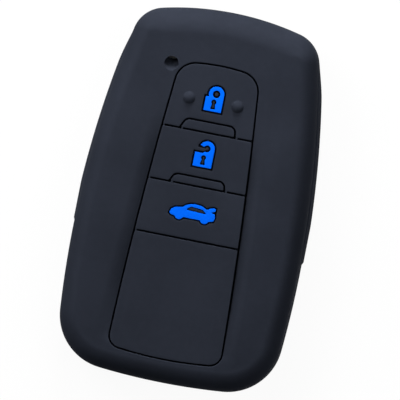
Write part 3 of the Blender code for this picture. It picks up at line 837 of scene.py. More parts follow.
@dataclass(frozen=True)
class Silicone:
    """Matt silicone rubber: fine moulded grain, slight clouding, edges rubbed by use, and painted shade in
    hollows and crevices.

    Each pair is the range of a noise, bend, distance or openness over which its effect
    sets in or fades out.
    """

    name: str
    colour: tuple[float, float, float]
    specular: float = 0.004

    cloud_size: float = 14 * MM
    cloud_weight: float = 0.65
    mottle_size: float = 1.3 * MM
    mottle_roughness: float = 0.6
    mottle_weight: float = 0.35
    cloud_share: float = 0.08
    cloud_range: Pair = (0.35, 0.65)

    roughness: float = 0.66
    smoother: float = 0.04
    rougher: float = 0.05
    rough_range: Pair = (0.3, 0.7)

    rubbed_lift: float = 1.35
    rubbed_bends: Pair = (0.15, 1.2)
    rubbed_patches: Pair = (0.3, 0.6)
    rubbed_least: float = 0.4
    rubbed_gloss: float = 0.08
    # painted shade: the colour darkens where the surface bends inwards
    hollow_shade_bends: Pair = (-1.0, -0.1)
    hollow_shade_share: float = 0.35
    hollow_shade_tone: float = 0.6

    grain_size: float = 0.16 * MM
    grain_depth: float = 0.006 * MM
    ripple_size: float = 2.4 * MM
    ripple_depth: float = 0.008 * MM

    dust_colour: tuple[float, float, float] = (0.5, 0.5, 0.48)
    dust_size: float = 2.2 * MM
    dust_share: float = 0.05
    dust_edge: Pair = (0.02, 0.035)
    dust_chance: Pair = (0.72, 0.74)

    # painted shade: the colour darkens where little is open within this reach, in grooves and holes
    painted_shade_reach: float = 2.2 * MM
    painted_shade_share: float = 0.85
    painted_shade_tone: float = 0.08
    painted_shade_openness: Pair = (0.2, 0.92)
    painted_shade_rays: int = 6

    def _clouded(self, tree: NodeTree, place: object, mottle: object) -> object:
        """The colour, a little darker and lighter by a wide noise and the mottle together.

        Args:
            tree: The tree to add to.
            place: Where on the piece it is worked out.
            mottle: The fine noise.

        Returns:
            The clouded colour.
        """
        clouds = tree.noise(place, self.cloud_size, detail=3)
        wide, fine = tree.product(clouds, self.cloud_weight), tree.product(mottle, self.mottle_weight)
        tone = tree.ranged(tree.math(Calc.ADD, wide, fine), self.cloud_range)
        return tree.mixed(
            tone, rgba(self.colour, 1 - self.cloud_share), rgba(self.colour, 1 + self.cloud_share)
        )

    def _dust(self, tree: NodeTree, place: object) -> object:
        """Specks of dust near the centres of the cells whose random value is high.

        Args:
            tree: The tree to add to.
            place: Where on the piece they are worked out.

        Returns:
            How much dust there is.
        """
        cells = tree.add("TexVoronoi", Vector=place, Scale=1 / self.dust_size)
        near = tree.ranged(cells.outputs["Distance"], self.dust_edge, (1, 0))
        chance = tree.ranged(cells.outputs["Color"], self.dust_chance)
        return tree.product(tree.product(near, chance), self.dust_share)

    def _painted_shade(self, tree: NodeTree) -> object:
        """Painted shade: a darker colour where little of the surroundings is open, as in grooves and holes.

        Args:
            tree: The tree to add to.

        Returns:
            How much painted shade there is.
        """
        rays = {"samples": self.painted_shade_rays}
        openness = tree.add("AmbientOcclusion", rays, Distance=self.painted_shade_reach).outputs["AO"]
        return tree.ranged(openness, self.painted_shade_openness, (self.painted_shade_share, 0))

    def _relief(self, tree: NodeTree, place: object) -> object:
        """A fine grain on a soft ripple.

        Args:
            tree: The tree to add to.
            place: Where on the piece it is worked out.

        Returns:
            The surface's bent direction.
        """
        grain = tree.product(tree.noise(place, self.grain_size, detail=2), self.grain_depth)
        ripple = tree.product(tree.noise(place, self.ripple_size, detail=1), self.ripple_depth)
        height = tree.math(Calc.ADD, grain, ripple)
        return tree.add("Bump", Height=height, Distance=1.0, Strength=1.0).outputs["Normal"]

    def material(self) -> bpy.types.Material:
        """Builds the material.

        The clouded colour is lifted on rubbed convex edges and darkened as painted shade in concave hollows.
        Specks of dust lie on it, and painted shade darkens narrow grooves and holes. The roughness follows
        the mottle and falls where the edges are rubbed.

        Returns:
            The new material.
        """
        material = bpy.data.materials.new(self.name)
        tree = NodeTree(material)
        place = tree.add("TexCoord").outputs["Object"]
        bend = tree.add("Attribute", {"attribute_name": BEND}).outputs["Fac"]
        mottle = tree.noise(place, self.mottle_size, detail=4, roughness=self.mottle_roughness)

        patches = tree.ranged(mottle, self.rubbed_patches, (self.rubbed_least, 1))
        rubbed = tree.product(tree.ranged(bend, self.rubbed_bends), patches)
        # painted shade in concave creases, by how the surface bends
        hollow_shade = tree.ranged(bend, self.hollow_shade_bends, (self.hollow_shade_share, 0))
        base = self._clouded(tree, place, mottle)
        base = tree.mixed(rubbed, base, rgba(self.colour, self.rubbed_lift))
        base = tree.mixed(hollow_shade, base, rgba(self.colour, self.hollow_shade_tone))
        base = tree.mixed(self._dust(tree, place), base, rgba(self.dust_colour))
        # painted shade: darker colour in grooves, holes and other closed-in places
        base = tree.mixed(self._painted_shade(tree), base, rgba(self.colour, self.painted_shade_tone))

        ends = (self.roughness - self.smoother, self.roughness + self.rougher)
        dull = tree.ranged(mottle, self.rough_range, ends)
        dull = tree.math(Calc.SUBTRACT, dull, tree.product(rubbed, self.rubbed_gloss))
        shader = tree.add(
            "BsdfPrincipled", Base_Color=base, Roughness=dull, Normal=self._relief(tree, place)
        )
        shader.inputs["Specular IOR Level"].default_value = self.specular
        tree.finish(shader.outputs["BSDF"])
        return material


# Pieces


@dataclass(frozen=True)
class Heights:
    """Heights through the front wall, and the crown that bends it along the cover."""

    thickness: float = 19 * MM
    rail_rise: float = 0.5 * MM
    front_wall: float = 2.5 * MM
    ledge_thickness: float = 0.4 * MM
    seat_gap: float = 0.3 * MM
    foot_thickness: float = 0.4 * MM
    travel_clearance: float = 0.1 * MM
    travel: float = 0.5 * MM
    boss_below_wall: float = 0.3 * MM
    crown_radius: float = 800 * MM

    @property
    def panel(self) -> float:
        """The panel's surface."""
        return self.thickness - self.rail_rise

    @property
    def inner(self) -> float:
        """The cavity's ceiling."""
        return self.panel - self.front_wall

    @property
    def ledge(self) -> float:
        """Top of the ledge under the panel."""
        return self.inner + self.ledge_thickness

    @property
    def foot(self) -> float:
        """Underside of the feet that stand over the ledge."""
        return self.ledge + self.seat_gap

    @property
    def foot_middle(self) -> float:
        """Half way up the feet."""
        return self.foot + self.foot_thickness / 2

    @property
    def foot_top(self) -> float:
        """Top of the feet."""
        return self.foot + self.foot_thickness

    @property
    def rim(self) -> float:
        """Underside of a button's rim, which clears the feet when it is pressed."""
        return self.foot_top + self.travel_clearance + self.travel

    @property
    def skirt(self) -> float:
        """Underside of a button's skirt, which clears the ledge when it is pressed."""
        return self.ledge + self.travel_clearance + self.travel

    @property
    def boss(self) -> float:
        """Underside of a button's boss."""
        return self.inner - self.boss_below_wall

    def slab(self, name: str, outline: Array, layer: Layer) -> bpy.types.Mesh:
        """A slab of its own, bent by the crown.

        Args:
            name: Name of the mesh.
            outline: Plan of the slab, anticlockwise.
            layer: Its heights and edges.

        Returns:
            The closed mesh.
        """
        surface = Surface(self.crowned)
        surface.slab(outline, layer)
        return surface.mesh(name)

    def crowned(self, points: Array) -> Array:
        """Lowers points by their distance from the middle squared over twice the crown's radius.

        The drop fades to nothing from the cavity's ceiling down to the back, which stays flat.

        Args:
            points: Points of the shape (n, 3).

        Returns:
            The lowered points.
        """
        share = np.clip(points[:, 2] / self.inner, 0, 1)
        drop = share * points[:, 1] ** 2 / (2 * self.crown_radius)
        return points - np.column_stack([np.zeros((len(points), 2)), drop])


@dataclass(frozen=True)
class PanelPlan:
    """Plan of the panel: its outline, the grooves between its fields, and the dividers."""

    outline: BowedOutline
    spread: Spread = Spread(ends=10, corners=10, sides=60)
    groove: float = 0.4 * MM
    edge_groove: float = 0.33 * MM
    lock_height: float = 14.2 * MM
    unlock_height: float = 11.4 * MM
    trunk_height: float = 11.3 * MM
    foot_overlap: float = 0.8 * MM
    left_reach: float = 5.62 * MM
    left_corner: float = 1.2 * MM
    left_slant: float = math.radians(25)
    right_reach: float = 5.6 * MM
    right_corner: float = 1.1 * MM
    right_slant: float = math.radians(8)
    upper_rise: float = 1.85 * MM
    lower_rise: float = 1.5 * MM
    shoulder_steps: int = 12
    station_margin: float = 0.6 * MM

    @property
    def upper_line(self) -> float:
        """Middle of the groove between the lock and unlock buttons."""
        return self.outline.top - self.lock_height

    @property
    def lower_line(self) -> float:
        """Middle of the groove between the unlock and trunk buttons."""
        return self.upper_line - self.unlock_height

    @property
    def panel_line(self) -> float:
        """Middle of the groove between the trunk button and the lower panel."""
        return self.lower_line - self.trunk_height

    def right_side(self, low: float | None, high: float | None, inset: float) -> Array:
        """The right half of a field's edge, from its low end up to its high end.

        Args:
            low: Place of the low end, or None for the panel's own bottom.
            high: Place of the high end, or None for the panel's own top.
            inset: How far the edge lies inside that of the groove round the panel.

        Returns:
            Points along the edge.
        """
        stations = self.outline.stations(self.spread)
        half = len(stations.points) // 2 + 1
        ring, levels = stations.ring(self.edge_groove / 2 + inset)[:half], stations.points[:half, 1]
        keep = np.ones(half, dtype=bool)
        ends = []
        for place, beyond in ((low, 1), (high, -1)):
            if place is None:
                ends.append(np.empty((0, 2)))
                continue
            keep &= beyond * (levels - place) > self.station_margin + inset
            ends.append(np.array([[self.outline.side_x(place, self.edge_groove / 2 + inset), place]]))
        return np.concatenate([ends[0], ring[keep], ends[1]])

    def divider_halves(self, line: float, wider: float, rise: float) -> list[Array]:
        """Halves of a divider's outline: foot, slanted side, shoulder and middle.

        The shoulder is an arc that starts square to the slanted side and ends level.

        Args:
            line: Middle of the groove below the divider.
            wider: How far the outline lies outside the divider's own.
            rise: How far the divider rises over the groove.

        Returns:
            The right half and the left half, both as if they were the right one.
        """
        base, halves = line + self.groove / 2, []
        for reach, corner, slant in (
            (self.right_reach, self.right_corner, self.right_slant),
            (self.left_reach, self.left_corner, self.left_slant),
        ):
            drop = rise - corner
            centre_x = reach - (corner + drop * math.sin(slant)) / math.cos(slant)
            foot_x = centre_x + (corner + wider + drop * math.sin(slant)) / math.cos(slant)
            centre = (centre_x, base + drop)
            shoulder = arc(centre, corner + wider, slant, math.pi / 2, self.shoulder_steps)
            halves.append(np.concatenate([[(foot_x, base)], shoulder, [(0, shoulder[-1, 1])]]))
        return halves


@dataclass
class Piece:
    """One visible piece: its name, the body that it rides on and the node that it stands for."""

    name: str
    node: str
    body: Body
    slot: Slot = Slot.BLACK

    def place(self, mesh: bpy.types.Mesh, material: bpy.types.Material) -> bpy.types.Object:
        """Puts a finished mesh into the scene on its body.

        Args:
            mesh: The piece's mesh, already in its place.
            material: Its finish.

        Returns:
            The new object.
        """
        mark_bends(mesh)
        mesh.materials.clear()
        mesh.materials.append(material)
        item = new_object(self.name, mesh)
        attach(item, self.body.value)
        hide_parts(self.node)
        LOG.info("%s: %d faces, rides on %s", self.name, len(mesh.polygons), self.body.value)
        return item


@dataclass(frozen=True)
class SleeveSteps:
    """How many steps each stretch of the sleeve's wall has, in the order of its rings."""

    lip: int = 6
    back: int = 4
    back_fillet: int = 12
    ridge_edge: int = 5
    ridge: int = 7
    shoulder: int = 18
    rail: int = 12
    slope: int = 16
    window: int = 5
    ledge: int = 4
    under_panel: int = 8
    inner_fillet: int = 8
    inner_wall: int = 6
    inner_back: int = 5


@dataclass
class Sleeve:
    """The shell of the cover: back, walls, face and ledge in one moulding."""

    heights: Heights
    plan: PanelPlan
    piece: Piece = field(default_factory=lambda: Piece("sleeve_shell", "sleeve", Body.COVER))
    length: float = 80 * MM
    half_width: float = 24.55 * MM
    widest_below_centre: float = 11.4 * MM
    side_radius: float = 217 * MM
    top_end_radius: float = 62 * MM
    bottom_end_radius: float = 140 * MM
    top_corner: float = 7.1 * MM
    bottom_corner: float = 11.8 * MM

    side_wall: float = 2 * MM
    back_wall: float = 2 * MM
    back_fillet: float = 4 * MM
    wall_start: float = 0.2 * MM
    front_draft: float = 0.3 * MM
    shoulder_height: float = 10.8 * MM
    side_shoulder: float = 4.2 * MM
    top_shoulder: float = 6 * MM
    bottom_shoulder: float = 4.45 * MM
    inner_fillet: float = 2 * MM
    face_crown: float = 0.12 * MM
    crown_share: float = 0.95

    rail_fade_top: float = 12 * MM
    rail_fade_length: float = 18 * MM
    rail_low_fade: float = 4 * MM
    rail_low_fade_length: float = 22 * MM
    slope_power: float = 1.15
    trough_drop: float = 0.8 * MM
    side_trough: float = 2.9 * MM
    top_trough: float = 1.2 * MM
    bottom_trough: float = 0.4 * MM

    ridge_proud: float = 0.6 * MM
    ridge_reach: float = 24.91 * MM
    ridge_top_share: float = 0.3
    ridge_low: float = 4.6 * MM
    ridge_high: float = 10.5 * MM
    ridge_edge: float = 0.4 * MM
    ridge_end_below_centre: float = 9 * MM
    ridge_end_chamfer: float = 0.9 * MM
    ridge_fade_start: float = 25 * MM
    ridge_fade_length: float = 10 * MM

    mouth_side_lip: float = 7.2 * MM
    mouth_top_lip: float = 8.5 * MM
    mouth_bottom_lip: float = 8 * MM
    mouth_corner: float = 6 * MM
    mouth_edge_round: float = 0.6 * MM
    mouth_inner_round: float = 0.4 * MM

    window_edge_round: float = 0.18 * MM
    ledge_width: float = 1 * MM
    ledge_edge_round: float = 0.12 * MM

    light_radius: float = 1.5 * MM
    light_across: float = -10.2 * MM
    light_below_top: float = 13.9 * MM
    light_tilt: float = math.radians(46)
    light_flare: float = 0.06 * MM
    light_scoop: float = 0.08 * MM
    light_scoop_depth: float = 0.5 * MM
    light_scoop_steps: int = 11
    light_waist_share: float = 0.6
    light_sides: int = 48

    slot_half_width: float = 6 * MM
    slot_height: float = 4.8 * MM
    slot_level: float = 8 * MM
    slot_flare: float = 0.5 * MM
    slot_end_steps: int = 16
    slot_flare_steps: int = 6
    overrun: float = 2 * MM

    spread: Spread = Spread()
    steps: SleeveSteps = SleeveSteps()

    @property
    def top(self) -> float:
        """Place of the top end."""
        return self.length / 2

    def side_shares(self) -> Array:
        """Stations along a side, closer together over the end of the grip ridge.

        Returns:
            Their places as shares of the side's length, from 0 to 1.
        """
        start = -self.length / 2 + self.bottom_corner
        span = self.length - self.bottom_corner - self.top_corner
        high_end = (-self.ridge_end_below_centre - start) / span
        low_end = high_end - self.ridge_end_chamfer / span
        fine = (high_end - low_end) / 2
        below = np.linspace(0, low_end - fine, self.spread.sides // 3)
        across = np.linspace(low_end - fine, high_end + fine, self.spread.sides // 6 + 2)[1:-1]
        above = np.linspace(high_end + fine, 1, self.spread.sides // 2 + 1)
        return np.concatenate([below, across, above])

    @cached_property
    def body(self) -> Stations:
        """Places the stations round the outer wall.

        Returns:
            The stations.
        """
        outline = BowedOutline(
            self.top, -self.top, self.half_width, -self.widest_below_centre, self.side_radius,
            self.top_end_radius, self.bottom_end_radius, self.top_corner, self.bottom_corner,
        )
        return outline.stations(self.spread, self.side_shares())

    @cached_property
    def panel(self) -> Stations:
        """Stations round the middle of the groove that bounds the panel."""
        return self.plan.outline.stations(self.spread, self.side_shares())

    @cached_property
    def mouth(self) -> Stations:
        """Places the stations round the opening in the back, which runs beside the outer wall.

        Returns:
            The stations.
        """
        outline = BowedOutline(
            self.top - self.mouth_top_lip, -self.top + self.mouth_bottom_lip,
            self.half_width - self.mouth_side_lip, -self.widest_below_centre,
            self.side_radius - self.mouth_side_lip, self.top_end_radius, self.bottom_end_radius,
            self.mouth_corner, self.mouth_corner,
        )
        return outline.stations(self.spread, self.side_shares())

    def back_and_sides(self) -> list[Array]:
        """Rings over the mouth's rounded lip, across the back and up the wall with its ridge.

        The ridge is a wedge, proudest low down. Its reach is the product of a fade along the
        side, which drops to nothing towards the top and over the chamfer at its low end, a
        step up and down in height, and a fall in a straight line up the wall.

        Returns:
            Groups of rings, one after another.
        """
        body, mouth = self.body, self.mouth
        sine, cosine = quarter(self.steps.lip)
        inner, edge = self.mouth_inner_round, self.mouth_edge_round
        lip_top = at_height(mouth.ring(-inner * (1 - sine)), self.back_wall - inner * (1 - cosine))
        lip_low = at_height(mouth.ring(-edge * (1 - cosine)), edge * (1 - sine))
        sine, cosine = quarter(self.steps.back_fillet)
        fillet = at_height(body.ring(self.back_fillet * (1 - sine)), self.back_fillet * (1 - cosine))

        y = body.points[:, 1]
        low_end = smooth_step(
            (y + self.ridge_end_below_centre + self.ridge_end_chamfer) / self.ridge_end_chamfer
        )
        fade = low_end * (1 - smooth_step((y - self.ridge_fade_start) / self.ridge_fade_length))
        edge_steps = np.linspace(0, self.ridge_edge, self.steps.ridge_edge + 1)
        plateau = (self.ridge_low + self.ridge_edge, self.ridge_high - self.ridge_edge)
        heights = np.concatenate([
            [self.back_fillet + self.wall_start],
            self.ridge_low + edge_steps,
            np.linspace(*plateau, self.steps.ridge + 1)[1:-1],
            plateau[1] + edge_steps,
        ])[:, None]
        step = smooth_step((heights - self.ridge_low) / self.ridge_edge)
        step = step * (1 - smooth_step((heights - self.ridge_high + self.ridge_edge) / self.ridge_edge))
        climb = np.clip((heights - self.ridge_low) / (self.ridge_high - self.ridge_low), 0, 1)
        step = step * (1 - (1 - self.ridge_top_share) * climb)
        proud = np.minimum(self.ridge_proud, self.ridge_reach - np.abs(body.points[:, 0])) * fade
        draft = self.front_draft * (heights - self.back_fillet) / (self.shoulder_height - self.back_fillet)
        wall = at_height(body.ring(draft - step * proud), heights)
        return [lip_top, lip_low, between(lip_low[-1], fillet[0], self.steps.back), fillet, wall]

    def face(self) -> list[Array]:
        """Rings over the front shoulder, across the rail and down its slope to the window.

        The shoulder is a quarter ellipse. The rail stands proud of the panel along both
        sides, sinks to the panel's level towards both ends, and has a low crown of its own.
        It slopes down as a quarter of a sine to a power a little over one, steep beside the
        groove, where it ends a little lower than the panel.

        Returns:
            Groups of rings, one after another.
        """
        body, panel = self.body, self.panel
        y = body.points[:, 1]
        rail_start = self.top - self.rail_fade_top - self.rail_fade_length
        share = 1 - smooth_step((y - rail_start) / self.rail_fade_length)
        share = share * smooth_step((y + self.top - self.rail_low_fade) / self.rail_low_fade_length)
        rail, crown = self.heights.rail_rise * share, self.face_crown * share
        bed = self.heights.panel - self.trough_drop * share
        width = body.blended(self.side_shoulder, self.top_shoulder, self.bottom_shoulder)
        trough = body.blended(self.side_trough, self.top_trough, self.bottom_trough)
        top = self.heights.panel + rail - crown

        sine, cosine = quarter(self.steps.shoulder)
        shoulder = at_height(
            body.ring(self.front_draft + (width - self.front_draft) * (1 - cosine)),
            self.shoulder_height + (top - self.shoulder_height) * sine,
        )
        edge = self.plan.edge_groove / 2 + self.window_edge_round
        share = np.linspace(1, 0, self.steps.slope + 1)[:, None]
        climb = np.sin(math.pi / 2 * share) ** self.slope_power
        slope = at_height(panel.ring(-edge - trough * share), bed + (top - bed) * climb)
        rail_rings = between(shoulder[-1], slope[0], self.steps.rail)
        across = np.linspace(0, 1, self.steps.rail + 1)[1:-1, None]
        rail_rings[..., 2] += self.crown_share * crown * np.sin(math.pi * across)
        sine, cosine = quarter(self.steps.window)
        window = at_height(
            panel.ring(-self.plan.edge_groove / 2 - self.window_edge_round * (1 - sine)),
            bed - self.window_edge_round * (1 - cosine),
        )
        return [shoulder, rail_rings, slope, window[1:]]

    def cavity(self) -> list[Array]:
        """Rings of the ledge under the panel and of the space that holds the key.

        Returns:
            Groups of rings, one after another.
        """
        body, panel, mouth = self.body, self.panel, self.mouth
        inset = self.ledge_width - self.plan.edge_groove / 2
        small = self.ledge_edge_round
        ledge, ceiling = self.heights.ledge, self.heights.inner
        floor_of_groove = at_height(panel.ring(np.array([[-self.plan.edge_groove / 2]])), ledge)
        sine, cosine = quarter(self.steps.ledge)
        ledge_top = at_height(panel.ring(inset - small * (1 - sine)), ledge - small * (1 - cosine))
        ledge_low = at_height(panel.ring(inset - small * (1 - cosine)), ceiling + small * (1 - sine))
        fillet = self.inner_fillet
        sine, cosine = quarter(self.steps.inner_fillet)
        high = at_height(body.ring(self.side_wall + fillet * (1 - sine)), ceiling - fillet * (1 - cosine))
        low = at_height(
            body.ring(self.side_wall + fillet * (1 - cosine)), self.back_wall + fillet * (1 - sine)
        )
        lip = at_height(mouth.ring(np.array([[-self.mouth_inner_round]])), self.back_wall)
        return [
            floor_of_groove, ledge_top, ledge_low,
            between(ledge_low[-1], high[0], self.steps.under_panel), high,
            between(high[-1], low[0], self.steps.inner_wall), low,
            between(low[-1], lip[0], self.steps.inner_back),
        ]

    def light_cutter(self) -> bpy.types.Mesh:
        """The slanted hole over the key's light, flared at the face.

        Its axis leans towards the top on its way down. Towards the face the rings grow, and
        move down the cover by as much, so that the lower side is a scooped ramp.

        Returns:
            A closed mesh that reaches past both faces of the front wall.
        """
        centre = np.array([self.light_across, self.top - self.light_below_top])
        lean = math.tan(self.light_tilt)
        top, wall = self.heights.panel, self.heights.front_wall
        depths = np.concatenate([
            [top - self.heights.inner + self.overrun, wall * self.light_waist_share],
            np.linspace(self.light_scoop_depth, 0, self.light_scoop_steps + 1),
            [-self.overrun],
        ])
        share = np.clip(1 - depths / self.light_scoop_depth, 0, 1)
        scoop = self.light_scoop * share**2
        flare = self.light_flare * np.clip(1 - depths / (2 * self.light_flare), 0, 1) ** 2
        radius = self.light_radius + scoop + flare
        unit = circle((0, 0), 1, self.light_sides)
        rings = centre + unit[None] * radius[:, None, None]
        rings[..., 1] += (depths * lean - scoop)[:, None]
        return self.cutter("light_hole", at_height(rings, (top - depths)[:, None]))

    def slot_cutter(self) -> bpy.types.Mesh:
        """The round-ended slot for a key ring through the top end, flared at both faces.

        Its rings bow with the end, by X squared over twice the end's radius.

        Returns:
            A closed mesh that reaches past both faces of the top wall.
        """
        end_radius = self.slot_height / 2
        centre = (self.slot_half_width - end_radius, self.slot_level)
        right = arc(centre, end_radius, -math.pi / 2, math.pi / 2, self.slot_end_steps)
        outline = mirrored(np.concatenate([[(0, right[0, 1])], right, [(0, right[-1, 1])]]))
        outer, inner = self.top, self.top - self.side_wall
        flare, drop = rounding(self.slot_flare, self.slot_flare_steps).T
        wider = np.concatenate([[self.slot_flare], flare, flare[::-1], [self.slot_flare]])
        depth = np.concatenate([
            [inner - self.overrun], inner + drop, outer - drop[::-1], [outer + self.overrun],
        ])
        rings = []
        for grown, y in zip(wider, depth):
            loop = offset(outline, grown)
            bow = loop[:, 0] ** 2 / (2 * self.top_end_radius)
            rings.append(np.column_stack([loop[:, 0], y - bow, loop[:, 1]]))
        return self.cutter("ring_slot", np.stack(rings))

    @staticmethod
    def cutter(name: str, rings: Array) -> bpy.types.Mesh:
        """A closed mesh through rings, with a fan at either end.

        Args:
            name: Name of the mesh.
            rings: Points of the shape (rings, stations, 3).

        Returns:
            The mesh.
        """
        surface = Surface()
        surface.wall(rings)
        for end in (rings[0], rings[-1]):
            surface.cap(end, end.mean(axis=0))
        return surface.mesh(name)

    def build(self, finish: bpy.types.Material) -> bpy.types.Object:
        """Builds the sleeve: one closed band of rings, with its hole and slot cut out.

        Args:
            finish: Material of the sleeve.

        Returns:
            The finished object.
        """
        surface = Surface(self.heights.crowned)
        rings = np.concatenate([*self.back_and_sides(), *self.face(), *self.cavity()])
        surface.wall(rings, closed=True)
        shell = surface.mesh(self.piece.name)
        cut = combined(shell, [self.light_cutter(), self.slot_cutter()], Merge.CUT)
        return self.piece.place(cut, finish)


@dataclass(frozen=True)
class Bridge:
    """A narrow land over the groove across the panel, which breaks the groove's dark line."""

    start: float
    width: float
    root: float = 0.25 * MM
    gap: float = 0.03 * MM
    sunk: float = 0.02 * MM
    edge_round: float = 0.05 * MM

    def mesh(self, heights: Heights, plan: PanelPlan, line: float, low: float) -> bpy.types.Mesh:
        """The land, rooted in the field above the groove.

        Args:
            heights: Heights through the front wall.
            plan: Plan of the panel.
            line: Middle of the groove.
            low: Height of the land's underside.

        Returns:
            A mesh to be joined to its field.
        """
        end = self.start + self.width
        under, over = line - plan.groove / 2 + self.gap, line + plan.groove / 2 + self.root
        outline = np.array([(self.start, under), (end, under), (end, over), (self.start, over)])
        layer = Layer(low, heights.panel - self.sunk, self.edge_round, self.gap)
        return heights.slab("bridge", outline, layer)


@dataclass
class LowerPanel:
    """The plain field under the buttons: a slab with a foot over the ledge and a plug below."""

    heights: Heights
    plan: PanelPlan
    piece: Piece = field(default_factory=lambda: Piece("lower_panel_pad", "lower_panel", Body.COVER))
    edge_round: float = 0.1 * MM
    corner_round: float = 0.3 * MM
    foot_inset: float = 0.02 * MM
    plug_inset: float = 1 * MM

    def outline(self, high: float, inset: float) -> Array:
        """The field's plan up to a place along the cover, moved inwards."""
        return softened(mirrored(self.plan.right_side(None, high, inset)), self.corner_round)

    def build(self, finish: bpy.types.Material) -> bpy.types.Object:
        """Builds the field and joins its foot and plug to it.

        Args:
            finish: Material of the panel.

        Returns:
            The finished object.
        """
        plan, heights, small = self.plan, self.heights, self.foot_inset
        edge, foot_edge = plan.panel_line - plan.groove / 2, plan.panel_line + plan.foot_overlap
        middle = heights.foot_middle
        pad, *others = (
            heights.slab(self.piece.name, self.outline(high_end, inset), layer)
            for high_end, inset, layer in (
                (edge, 0, Layer(middle, heights.panel, self.edge_round, small)),
                (foot_edge, small, Layer(heights.foot, heights.foot_top, small, small)),
                (foot_edge - small, self.plug_inset, Layer(heights.inner, middle, small, small)),
            )
        )
        return self.piece.place(combined(pad, others, Merge.JOIN), finish)


@dataclass
class Divider:
    """A fixed island in the notch of the button above, on a foot across the window."""

    heights: Heights
    plan: PanelPlan
    piece: Piece
    line: float
    rise: float
    bridge_width: float
    bridge_inset: float = 0.1 * MM
    edge_round: float = 0.1 * MM
    corner_round: float = 0.22 * MM
    foot_inset: float = 0.02 * MM
    spacing: float = 0.6 * MM

    def build(self, finish: bpy.types.Material) -> bpy.types.Object:
        """Builds the island and joins its foot and the bridge below its left end to it.

        Args:
            finish: Material of the divider.

        Returns:
            The finished object.
        """
        plan, heights = self.plan, self.heights
        right, left = plan.divider_halves(self.line, 0, self.rise)
        foot_low = self.line - plan.foot_overlap
        foot_high = self.line + self.rise + plan.groove + plan.foot_overlap
        foot = mirrored(plan.right_side(foot_low, foot_high, self.foot_inset))
        outline, small = softened(joined(right, left), self.corner_round), self.foot_inset
        top = Layer(heights.foot_middle, heights.panel, self.edge_round, small, self.spacing)
        low = Layer(heights.foot, heights.foot_top, small, small, self.spacing)
        bridge = Bridge(self.bridge_inset - left[0, 0], self.bridge_width)
        parts = [
            heights.slab("foot", foot, low),
            bridge.mesh(heights, plan, self.line, heights.foot_middle),
        ]
        island = combined(heights.slab(self.piece.name, outline, top), parts, Merge.JOIN)
        return self.piece.place(island, finish)


@dataclass(frozen=True)
class Dome:
    """A low dome to be felt with the thumb: a cap of a ball with a small fillet round its foot.

    The cap leans down the cover, by more the higher it is.
    """

    centre: Pair
    radius: float = 1.26 * MM
    height: float = 0.73 * MM
    fillet: float = 0.3 * MM
    lean: float = 0.03 * MM
    sides: int = 56
    steps: int = 12
    fillet_steps: int = 6

    @property
    def ball(self) -> float:
        """Radius of the ball that the cap is cut from."""
        return (self.radius**2 + self.height**2) / (2 * self.height)

    @property
    def sunk(self) -> float:
        """How far the ball's centre lies below the face."""
        return self.ball - self.height

    @property
    def foot_radius(self) -> float:
        """Where the fillet meets the face, found from the ball and fillet that touch outside."""
        return math.sqrt((self.ball + self.fillet) ** 2 - (self.fillet + self.sunk) ** 2)

    def foot(self) -> Array:
        """The loop that the dome needs open in the face."""
        return circle(self.centre, self.foot_radius, self.sides)

    def add_to(self, surface: Surface, level: float) -> None:
        """Adds the dome's rings: the fillet's arc, then the cap up to its pole.

        Args:
            surface: The surface to add to.
            level: Height of the face round the dome.
        """
        touch = math.asin(self.foot_radius / (self.ball + self.fillet))
        turn = np.linspace(0, touch, self.fillet_steps + 1)
        polar = np.linspace(touch, touch / self.steps, self.steps)[1:]
        radius = np.concatenate([self.foot_radius - self.fillet * np.sin(turn), self.ball * np.sin(polar)])
        rise = np.concatenate([self.fillet * (1 - np.cos(turn)), self.ball * np.cos(polar) - self.sunk])
        plan = np.asarray(self.centre) + circle((0, 0), 1, self.sides)[None] * radius[:, None, None]
        rings = at_height(plan, level + rise[:, None])
        rings[..., 1] -= (self.lean * rise / self.height)[:, None]
        surface.wall(rings)
        x, y = self.centre
        surface.cap(rings[-1], np.array([x, y - self.lean, level + self.height]))


@dataclass(frozen=True)
class Mark:
    """A symbol's plan, all loops anticlockwise: the fill with its holes, the pocket with its islands."""

    fill: Array
    holes: tuple[Array, ...]
    pocket: Array
    islands: tuple[Array, ...]


